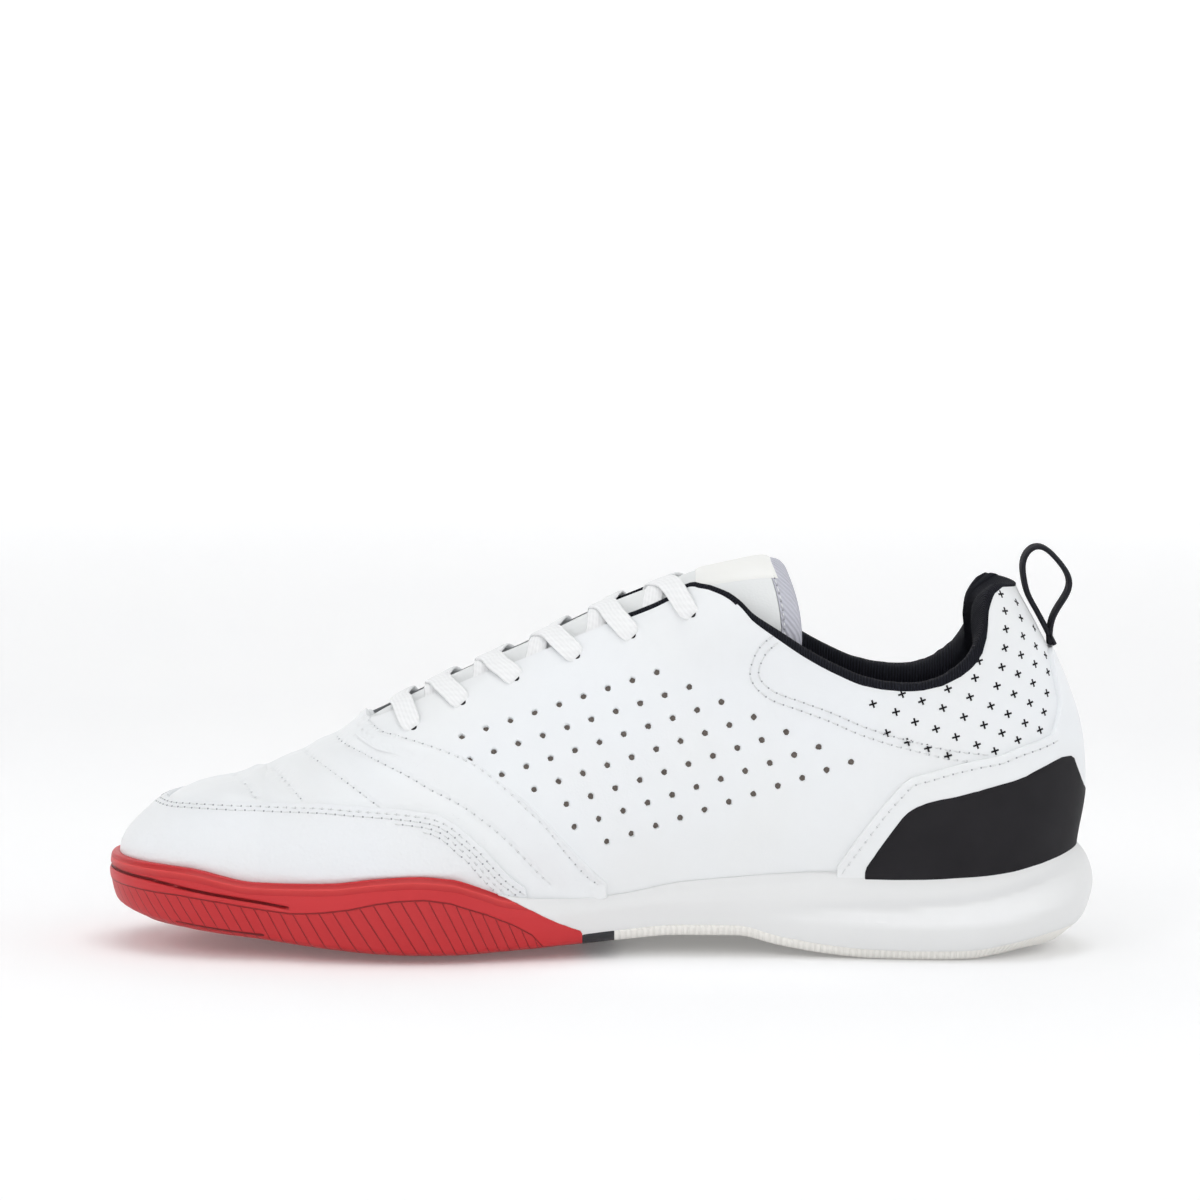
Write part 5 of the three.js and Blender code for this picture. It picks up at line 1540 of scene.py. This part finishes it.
def tongue_point(x, v, sink):
    half = tongue["half"](x) * TONGUE_WIDTH / 2
    ridge = bed_z(x) + tongue["ridge"](x) * UPPER_HEIGHT
    edge = bed_z(x) + tongue["edge"](x) * UPPER_HEIGHT
    free = smooth((x - 0.045) / 0.06)
    y = spine_y(x) + mix(v * half, math.sin(v * math.pi * 0.47) * half, free)
    lie = 0.0
    if free < 1:
        high, way = top_height(x, spine_y(x) + v * half)
        lie = high - (WALL + CLEARANCE + 0.2 + sink) * min(1.6, 1 / max(0.3, way.z))
        lie += 2.3 * smooth((throat["half"](x) * HALF_WIDTH - 0.6 - abs(v) * half) / 5)
    arch = mix(ridge, edge, 1 - math.cos(v * math.pi * 0.47)) - sink
    z = mix(lie, arch, free)
    end = smooth((x - 0.10) / 0.08)
    drop = min(24.0, max(0.0, ridge - z))
    lean = (0.52 * drop - 0.0125 * drop * drop) * (1 - sink / 40)
    return Vector((x * LENGTH + end * lean, y, z))


def make_tongue():
    """A padded leather tongue whose end stands up in an arch above the laces."""
    loop = []
    for way in (1, -1):
        loop += [(v, 0.5 - 0.5 * way) for v in np.linspace(-0.93 * way, 0.93 * way, 33)]
        for turn in (30, 60, 90, 120, 150):
            a = math.radians(turn)
            loop.append((way * (0.93 + 0.07 * math.sin(a)), 0.5 - 0.5 * way * math.cos(a)))
    rows = [(x, 1.0) for x in np.linspace(TONGUE_START, TONGUE_END - 0.007, 64)]
    for turn in (25, 50, 70, 85):
        a = math.radians(turn)
        rows.append((TONGUE_END - 0.007 + 0.007 * math.sin(a), math.cos(a)))
    grid, runs, tape = [], [], []
    for x, full in rows:
        column = []
        for v, depth in loop:
            tape.append((x - TAPE_START) * LENGTH + (depth > 0.3) * 4.0 * smooth((x - 0.05) / 0.05))
            crown = 0.5 * (1 - v * v) * smooth((x - 0.06) / 0.05) if depth == 0 else 0
            sink = TONGUE_THICKNESS * (0.5 + (depth - 0.5) * full) - crown
            column.append(tongue_point(x, v, sink))
            runs.append((x * LENGTH, v * TONGUE_WIDTH / 2))
        grid.append(column)
    count = len(loop)
    flat = np.array([[list(p) for p in column] for column in grid])
    flat = flat.reshape(-1, 3)
    skin = Skin(flat, np.zeros((len(flat), 3)), tube_faces(len(grid), count))
    tongue_piece = piece(
        "tongue_padding", skin, materials["tongue"], ("tongue",), 60, runs,
        {"tape": tape},
    )
    outward(tongue_piece)

    strip_on_tongue(
        "tongue_end_band", 0.090, 0.168, 0.46, 1.5, "band", ("tongue_band",)
    )
    line = []
    for v in np.linspace(-0.97, 0.97, 60):
        lift = 0.5 * (1 - v * v) + 0.1
        way = Vector((0.1, math.sin(v * 1.3), 1)).normalized()
        line.append((tongue_point(TAPE_START + 0.0025, v, -lift), way))
    sew("tongue_tape", [line], "tongue_band")


def outward(obj):
    """Turns a closed piece's faces outwards."""
    mesh = bmesh.new()
    mesh.from_mesh(obj.data)
    bmesh.ops.recalc_face_normals(mesh, faces=mesh.faces)
    mesh.to_mesh(obj.data)
    mesh.free()
    obj.data.polygons.foreach_set("use_smooth", [True] * len(obj.data.polygons))


def strip_on_tongue(name, start, end, reach, thick, finish, replaces):
    """A flat band across the tongue, its edges turned down."""
    across, runs = 40, []
    edge = ((0, 0.0), (0.02, 0.6), (0.06, 0.9), (0.12, 1.0))
    back = edge[::-1]
    shares = [s for s, _ in edge] + list(np.linspace(0.18, 0.82, across)) + [1 - s for s, _ in back]
    lifts = [h for _, h in edge] + [1.0] * across + [h for _, h in back]
    grid = []
    for u, lift_u in zip(shares, lifts):
        column = []
        for s, lift_s in zip(shares, lifts):
            v = (s * 2 - 1) * reach
            column.append(tongue_point(mix(start, end, u), v, -thick * min(lift_u, lift_s) + 0.25))
            runs.append((mix(start, end, u) * LENGTH, v * TONGUE_WIDTH / 2))
        grid.append(column)
    count = len(shares)
    flat = np.array([[list(p) for p in column] for column in grid]).reshape(-1, 3)
    faces = [
        (i * count + k, i * count + k + 1, (i + 1) * count + k + 1, (i + 1) * count + k)
        for i in range(count - 1) for k in range(count - 1)
    ]
    skin = Skin(flat, np.zeros((len(flat), 3)), [tuple(reversed(f)) for f in faces])
    obj = piece(name, skin, materials[finish], replaces, 60, runs)
    up = sum((p.normal.z for p in obj.data.polygons))
    if up < 0:
        obj.data.flip_normals()


# Laces
LACE_WIDTH, LACE_THICKNESS = 6.5, 1.2
EYELETS = ((412, 726.5), (461, 701.5), (514.6, 677.3), (575.3, 655), (631, 634.5), (691.3, 613.3))
LACE_LIFT = PANEL_STEP + LACE_THICKNESS / 2 + 0.15


def eyelet(i, side, right=0.0):
    """The middle of a lace hole and its way out; the far side's lie across from the near ones."""
    x, y = EYELETS[i]
    spot = seen((x + right, y + right * 0.6), PANEL_STEP)
    return spot if side < 0 else on_side(spot[0].x, spot[0].z, 1)


def laid_on(spot, lift):
    place, way = form_tree.find_nearest(spot)[:2]
    return place + way * lift


def throat_edge(x, side, lift):
    """A place over the edge of the throat, at a distance x from the middle of the shoe in mm."""
    share = x / LENGTH
    return above(share, spine_y(share) + side * throat["half"](share) * HALF_WIDTH, lift)


def above(x, y, lift):
    """A place above the outside of the upper, or of the tongue where that is higher."""
    z, way = top_height(x, y)
    z += lift * min(1.6, 1 / max(0.3, way.z))
    v = (y - spine_y(x)) / (tongue["half"](x) * TONGUE_WIDTH / 2)
    if abs(v) < 0.8:
        z = max(z, tongue_point(x, v, 0).z + LACE_THICKNESS / 2 + 0.1)
    return Vector((x * LENGTH, y, z))


def lace(name, route, replaces, tapers=(0, 1)):
    """A flat woven lace along a route, narrowed where it goes into a hole."""
    path = smooth_line([list(p) for p in route], 0.8)
    ups = [form_tree.find_nearest(Vector(p))[1] for p in path]
    eased = [
        sum(ups[max(0, i - 4):i + 5], Vector()).normalized() for i in range(len(ups))
    ]

    def section(t):
        pinch = 1.0
        for end, used in zip((t, 1 - t), tapers):
            if used:
                pinch = min(pinch, mix(0.62, 1.0, smooth(end / 0.10)))
        return oval(LACE_WIDTH * pinch, LACE_THICKNESS * mix(1.5, 1.0, pinch), 14)

    skin, runs = swept([Vector(p) for p in path], eased, section)
    obj = piece(name, skin, materials["lace"], replaces, 60, runs)
    outward(obj)
    return obj


def over_edge(i, side, lean, lift):
    """Route from over the throat's edge down into a lace hole."""
    hole, way = eyelet(i, side)
    edge = throat_edge(hole.x - lean, side, lift + 0.35)
    if side > 0 and i == len(EYELETS) - 1:
        edge.z -= 2.5
    return [
        edge,
        laid_on(edge.lerp(hole, 0.55), lift + 0.1), laid_on(edge.lerp(hole, 0.92), lift - 0.15),
        hole + way * 0.45 + Vector((0.6, 0, -0.5)), hole - way * 1.3 + Vector((0.9, 0, -0.9)),
    ]


def make_laces():
    """A straight bar at the toe end, then five crossings, each end diving into its hole."""
    near, far = over_edge(0, -1, 3.4, LACE_LIFT), over_edge(0, 1, 3.4, LACE_LIFT)
    share = (near[0].x - 1.2) / LENGTH
    middle = [above(share, spine_y(share) + y, 0.9) for y in (-3.5, 0, 3.5)]
    lace("lace_bar_weave", near[::-1] + middle + far, ("lace_bar",), (1, 1))
    for i in range(len(EYELETS) - 1):
        for side, label in ((-1, "medial"), (1, "lateral")):
            low = eyelet(i, -side)[0]
            down = over_edge(i + 1, side, 5.3, LACE_LIFT)
            x = low.x / LENGTH + 0.020
            half = throat["half"](x) * HALF_WIDTH
            start_y = spine_y(x) - side * half
            mid_x = (low.x + down[0].x) / 2 / LENGTH + 0.004
            lift = 0.55 if side < 0 else -0.55
            route = [
                above(x - 0.006, spine_y(x) - side * (half + 2.5), -3.0),
                above(x, spine_y(x) - side * (half - 2.0), -1.3),
                above(mix(x, mid_x, 0.5), mix(start_y, spine_y(mid_x), 0.5), -0.2 + lift * 0.5),
                above(mid_x, spine_y(mid_x), 0.5 + lift),
                above(
                    mix(mid_x, down[0].x / LENGTH, 0.55),
                    mix(spine_y(mid_x), down[0].y, 0.55), 0.9 + lift,
                ),
                *down,
            ]
            lace(f"lace_{i + 1}_{label}", route, (f"lace_crossing_{i + 1}",), (0, 1))
    # dark discs at the lace holes: painted shade inside the holes, in the print finish
    spots, ups, alongs = [], [], []
    for i in range(len(EYELETS)):
        for side in (-1, 1):
            spot, way = eyelet(i, side, 1.5)
            spots.append(spot + way * (PANEL_STEP + 0.03))
            ups.append(way)
            alongs.append(Vector((1, 0, 0)))
    finish = materials["print"]
    dots = dot_grower("eyelet_hole_shade", finish, 14)
    sizes = {"Radius": 1.0, "Height": 0.12}
    dots.grown("eyelet_hole_shade", spots, ups, alongs, [], sizes, finish, "lace")


# Pull loop
LOOP_WIDTH, LOOP_THICKNESS = 10.0, 1.6
LOOP_ROUTE = (
    (0.4518, 0.782), (0.4512, 0.812), (0.453, 0.862), (0.4595, 0.903), (0.4675, 0.940),
    (0.4715, 0.978), (0.4685, 1.010), (0.4585, 1.052), (0.4470, 1.088), (0.4385, 1.101),
    (0.4310, 1.097), (0.4255, 1.075), (0.4220, 1.040), (0.4230, 1.008),
)


def make_pull_loop():
    foot = bed_z(0.5)
    proud = (PANEL_STEP + CLEARANCE + LOOP_THICKNESS / 2 + 0.2) * 1.25 + 0.5
    standing = [Vector((x * LENGTH, 0, foot + z * UPPER_HEIGHT)) for x, z in LOOP_ROUTE]
    lying = []
    for i in range(6):
        z = mix(standing[-1].z - LOOP_THICKNESS, standing[0].z, i / 5)
        hit = cast((FAR, 0, z), (-1, 0, 0))
        lying.append(Vector((hit[0].x + proud, 0, z)))
    path = [Vector(p) for p in smooth_line([list(p) for p in standing[:-1] + lying[1:]], 0.9)]
    for _ in range(8):
        eased = [(a + b * 2 + c) / 4 for a, b, c in zip(path, path[1:], path[2:])]
        path = [path[0], *eased, path[-1]]
    ups = []
    for i in range(len(path)):
        run = path[min(i + 1, len(path) - 1)] - path[max(i - 1, 0)]
        ups.append(run.cross(Vector((0, 1, 0))))
    skin, runs = swept(path, ups, lambda t: oval(LOOP_WIDTH, LOOP_THICKNESS, 14))
    webbing = materials["webbing"]
    outward(piece("pull_loop_webbing", skin, webbing, ("pull_loop",), 60, runs))


# Sole
SOLE_STEPS = (3, 4, 4, 5, 7, 7, 5, 3)
WING = (
    (-0.150, 0.775), (-0.123, 0.690), (-0.097, 0.585), (-0.070, 0.460), (-0.043, 0.330),
    (-0.020, 0.245),
)
WING_END, BRIDGE_END, HEEL_RUBBER = -0.020, 0.012, 2.6


def sole_column(place):
    """One column of the sole, from under the spine out to the widest line, the rim and the lip."""
    x = outline_x(place)
    low, edge, side, rim = (sole[key](x) * SOLE_HEIGHT for key in ("low", "edge", "side", "rim"))
    inset, rim_in, lip = (sole[key](x) * HALF_WIDTH for key in ("inset", "rim_in", "lip"))
    spine_low = sole["low"](place.x) * SOLE_HEIGHT
    reach = max(sole_width(place.x, place.side), 1)
    knots = [
        (tread["inset"](x) * HALF_WIDTH, low), (inset, edge), (inset * 0.35, mix(edge, side, 0.35)),
        (0, side), (rim_in * 0.3, mix(side, rim, 0.55)), (rim_in, rim - 0.5),
        (rim_in + 0.35 * lip, rim + 0.05), (rim_in + lip + 0.9, rim - 0.25),
    ]
    profile = []
    for i, count in enumerate(SOLE_STEPS[1:]):
        p0, p1, p2 = (np.array(knots[max(0, i - 1)]), np.array(knots[i]), np.array(knots[i + 1]))
        p3 = np.array(knots[min(len(knots) - 1, i + 2)])
        ta = (p2 - p0) * (0.5 if i else 1.0)
        tb = (p3 - p1) * (0.5 if i < len(knots) - 2 else 1.0)
        for k in range(count):
            t = k / count
            rise, lead, tail = t * t * (3 - 2 * t), t * (1 - t) ** 2, t * t * (1 - t)
            profile.append(p1 * (1 - rise) + p2 * rise + lead * ta - tail * tb)
    profile.append(np.array(knots[-1]))
    profile.append(np.array((knots[-1][0] + 0.2, rim - 4)))
    first_inset, first_z = profile[0]
    out = [place_point(place, 0, 0, spine_low)]
    for k in range(1, SOLE_STEPS[0]):
        t = k / SOLE_STEPS[0]
        width = (sole_width(place.x, place.side) - first_inset) * t
        tip = (place.reach * LENGTH - first_inset) * t
        out.append(place_point(place, width, max(tip, 1e-6), mix(spine_low, first_z, t)))
    for inset_now, z in profile:
        out.append(place_point(
            place, sole_width(place.x, place.side) - inset_now,
            place.reach * LENGTH - inset_now, z,
        ))
    return out


def front_region(gap=0.0):
    line = [(x * LENGTH + gap, z * SOLE_HEIGHT + gap) for x, z in WING]
    return [(-FAR, -FAR), (-FAR, FAR), (line[0][0], FAR), *line, (WING_END * LENGTH + gap, -FAR)]


def low_region(lift=0.0):
    line = [
        (x * LENGTH, sole["edge"](x) * SOLE_HEIGHT + HEEL_RUBBER + lift)
        for x in np.linspace(WING_END, 0.53, 60)
    ]
    return [(WING_END * LENGTH - 1, -FAR), *line, (0.53 * LENGTH, -FAR)]


SCRIBED = (
    (-147, 19.9), (-144.5, 19.6), (-134, 18.9), (-123.3, 18.4), (-110.8, 16.9), (-98.1, 15.0),
    (-90, 14.4), (-81.6, 15.0), (-73.2, 16.2), (-65.1, 18.1), (-59.1, 19.0), (-51.3, 19.4),
    (-43.7, 18.3),
    (-33.3, 14.7), (-25.5, 11.2), (-20.2, 8.0), (-17, 4.0),
)
SLIT = ((-146, 23.4), (-142.7, 23.1), (-131.5, 22.2), (-117, 19.8), (-104.2, 18.0), (-90.5, 15.9))
NOTCH = ((-125.2, 11.8), (-124.4, 10.0), (-117, 9.1), (-109, 8.2), (-100, 7.3))


def line_height(line, x):
    return np.interp(x, [p[0] for p in line], [p[1] for p in line])


def make_sole():
    stations, fan = 190, 60
    ring = ring_of(sole_column, stations, fan)
    normals = grid_normals(ring)
    travelled, spots = 0.0, []
    side_row = sum(SOLE_STEPS[:4])
    for i, column in enumerate(ring):
        if i:
            travelled += (column[side_row] - ring[i - 1][side_row]).length
        spots.append(travelled)
    rows = len(ring[0])
    points = np.array([list(p) for column in ring for p in column])
    faces = []
    for i in range(len(ring)):
        j = (i + 1) % len(ring)
        for k in range(rows - 1):
            faces.append((i * rows + k, j * rows + k, j * rows + k + 1, i * rows + k + 1))
    whole = welded(points, normals.reshape(-1, 3), faces)
    lookup = {tuple(round(c / 1e-3) for c in p): spots[i // rows] for i, p in enumerate(points)}
    where = np.array([lookup.get(tuple(round(c / 1e-3) for c in p), 0.0) for p in whole.points])

    def along(skin_points):
        """Distance round the perimeter from the tip of the toe, the same way on both sides."""
        tree = BVHTree.FromPolygons([Vector(p) for p in whole.points], whole.faces)
        out = []
        for p in skin_points:
            _, _, index, _ = tree.find_nearest(Vector(p))
            face = whole.faces[index]
            gaps = [max(1e-6, float(np.linalg.norm(whole.points[v] - p))) for v in face]
            near = where[face[int(np.argmin(gaps))]]
            share = [(where[v], 1 / g) for v, g in zip(face, gaps) if abs(where[v] - near) < 30]
            value = sum(w * s for w, s in share) / sum(s for _, s in share)
            out.append(min(value, travelled - value))
        return np.array(out)

    front = whole.trimmed(side_region(front_region()))
    x, z = front.points[:, 0], front.points[:, 2]
    u = along(front.points)
    below = line_height(SCRIBED, x) - z
    fields = {
        "below": below,
        "rib": (u - 0.56 * below) / FRONT_RIB_PITCH,
        "slit": np.abs(z - line_height(SLIT, x)) + np.clip(x + 90.5, 0, None) * 2,
        "notch": np.abs(z - line_height(NOTCH, x)) + np.clip(-124.8 - x, 0, None) * 2
        + np.clip(x + 98, 0, None) * 2,
    }
    rim = np.array([sole["rim"](v / LENGTH) * SOLE_HEIGHT for v in x])
    fields["lip"] = rim - z
    step = np.clip(below / 0.6, 0, 1) * 0.25
    dip = np.exp(-((fields["slit"] / 0.55) ** 2)) * 0.7
    shaped = front.copy()
    shaped.points = front.points - front.normals * (step + dip)[:, None]
    rubber_piece("forefoot_cup", shaped, "red", ("forefoot_outsole",), fields)

    rear = whole.trimmed(lambda p: -side_region(front_region(CLEARANCE))(p))
    foam = rear.trimmed(lambda p: -side_region(low_region(CLEARANCE))(p))
    # band carries painted light: a highlight on the shelf and shade along the upper crease
    fields = {"band": painted_facet_light(foam.points)}
    foam = foam.raised(facets)
    rubber_piece("midsole_foam", foam, "foam", ("midsole",), fields)
    low = rear.trimmed(side_region(low_region()))
    bridge = low.trimmed(lambda p: BRIDGE_END * LENGTH - p[:, 0])
    rubber_piece("arch_bridge_rubber", bridge, "bridge", ("arch_bridge",), {})
    heel = low.trimmed(lambda p: p[:, 0] - BRIDGE_END * LENGTH - CLEARANCE)
    fields = {"rib": along(heel.points) / HEEL_RIB_PITCH}
    rubber_piece("heel_rubber", heel, "cream", ("heel_outsole",), fields)


UPPER_CREASE = (
    (43, 12.5), (57, 14.2), (71.6, 14.9), (86, 15.6), (97.6, 16.6), (109, 18.0), (118, 20.0),
    (127, 22.6), (135, 25),
)
LOWER_CREASE = (
    (43, 12.0), (63, 11.8), (86, 11.2), (103.6, 11.4), (115.4, 12.3), (124, 13.8), (130, 15.4),
    (140, 18),
)


def facets(points):
    """The midsole's heel: a shelf of soft facets between two creases that fade out forwards."""
    x, z = points[:, 0], points[:, 2]
    top, low = line_height(UPPER_CREASE, x), line_height(LOWER_CREASE, x)
    down = np.clip((top - z) / np.maximum(1.0, top - low), 0, 1)
    shelf = 2.4 * down - 1.2 * np.clip((low - z) / 9, 0, 1)
    dish = -1.1 * np.exp(-(((z - top - 1.5) / 3.4) ** 2))
    fade = np.clip((x - 40) / 45, 0, 1) * np.clip((143 - x) / 14, 0, 1)
    arch = -0.8 * np.exp(-(((x - 22) / 30) ** 2)) * np.exp(-(((z - 12) / 5) ** 2))
    return (shelf + dish) * fade + arch - 0.7 * fade


def painted_facet_light(points):
    """Painted light on the facets: 1 for the highlight on the shelf, 0 elsewhere, under 0 for the
    painted shade along the upper crease.
    """
    x, z = points[:, 0], points[:, 2]
    top, low = line_height(UPPER_CREASE, x), line_height(LOWER_CREASE, x)
    inside = np.clip((top - z) / 0.5, 0, 1) * np.clip((z - low) / 1.2 + 0.5, 0, 1)
    crease = np.exp(-(((z - top - 1.2) / 1.8) ** 2))
    fade = np.clip((x - 45) / 35, 0, 1) * np.clip((140 - x) / 14, 0, 1)
    return (inside - 0.8 * crease) * fade


def rubber_piece(name, skin, finish, replaces, fields):
    shaped = skin.rolled(((0.15, -0.08), (0.25, -0.3), (0.25, -2.6)))
    if fields:
        order = list(dict.fromkeys(v for edge in skin.rims() for v in edge))
        for key, values in fields.items():
            fields[key] = np.concatenate((values, list(np.array(values)[order]) * 3))
    return piece(name, shaped, materials[finish], replaces, 30, None, fields)


# Insole
def finish_insole():
    """The insole keeps its solid's shape and takes a cloth."""
    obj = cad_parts["insole"]
    for place in obj.material_slots:
        place.material = materials["insole"]


def show_colours_plainly():
    """White stays white, as in the photograph."""
    bpy.context.scene.view_settings.view_transform = "Standard"


# Studio
def make_studio():
    """A pale round floor that turns up into a wall of paper on all sides, with soft light."""
    floor_end, turn_size, rise, corners = 2.4, 1.0, 3.2, 96
    profile = [(0.0, 0.0), (0.8, 0.0), (1.6, 0.0), (floor_end, 0.0)]
    for i in range(1, 13):
        turn = i / 12 * math.pi / 2
        profile.append((floor_end + turn_size * math.sin(turn), turn_size * (1 - math.cos(turn))))
    profile.append((floor_end + turn_size, rise))
    points = [(0.0, 0.0, 0.0)]
    for r, z in profile[1:]:
        for k in range(corners):
            a = 2 * math.pi * k / corners
            points.append((r * math.cos(a), r * math.sin(a), z))
    faces = [(0, 1 + k, 1 + (k + 1) % corners) for k in range(corners)]
    for i in range(len(profile) - 2):
        a, b = 1 + i * corners, 1 + (i + 1) * corners
        for k in range(corners):
            n = (k + 1) % corners
            faces.append((a + k, b + k, b + n, a + n))
    mesh = bpy.data.meshes.new("paper")
    mesh.from_pydata(points, [], faces)
    mesh.polygons.foreach_set("use_smooth", [True] * len(mesh.polygons))
    f = Finish("paper")
    shade = f.blend(f.ramp(f.noise(6, 2), 0.3, 0.7), (0.93, 0.93, 0.93), (0.92, 0.92, 0.925))
    out = f.add("ShaderNodeVectorMath", {"operation": "LENGTH"}, {0: f.place}, "Value")
    glow = f.blend(f.ramp(out, 0.6, 2.4), (0.10, 0.10, 0.10), (0.42, 0.42, 0.42))
    mesh.materials.append(f.done(
        Base_Color=shade, Roughness=0.9, Specular_IOR_Level=0.1,
        Emission_Color=glow, Emission_Strength=1.0,
    ))
    paper = bpy.data.objects.new("paper", mesh)
    bpy.context.scene.collection.objects.link(paper)

    world = bpy.data.worlds.new("studio")
    bpy.context.scene.world = world
    world.use_nodes = True
    world.node_tree.nodes["Background"].inputs["Color"].default_value = (0.95, 0.975, 1.0, 1)
    world.node_tree.nodes["Background"].inputs["Strength"].default_value = 0.20
    for name, place, size, power in (
        ("over_light", (0.0, -0.1, 1.5), 1.1, 8.6),
        ("front_light", (-0.6, -1.3, 1.2), 0.8, 2.3),
        ("heel_light", (1.4, -0.3, 0.8), 0.7, 0.5),
    ):
        data = bpy.data.lights.new(name, "AREA")
        data.size, data.energy = size, power
        light = bpy.data.objects.new(name, data)
        light.location = place
        aim = Vector((0, 0, 0.05)) - Vector(place)
        light.rotation_euler = aim.to_track_quat("-Z", "Y").to_euler()
        bpy.context.scene.collection.objects.link(light)


show_colours_plainly()
make_camera()
make_upper()
sew_upper()
print_crosses()
make_collar()
make_binding()
make_tongue()
make_laces()
make_pull_loop()
make_sole()
finish_insole()
make_studio()
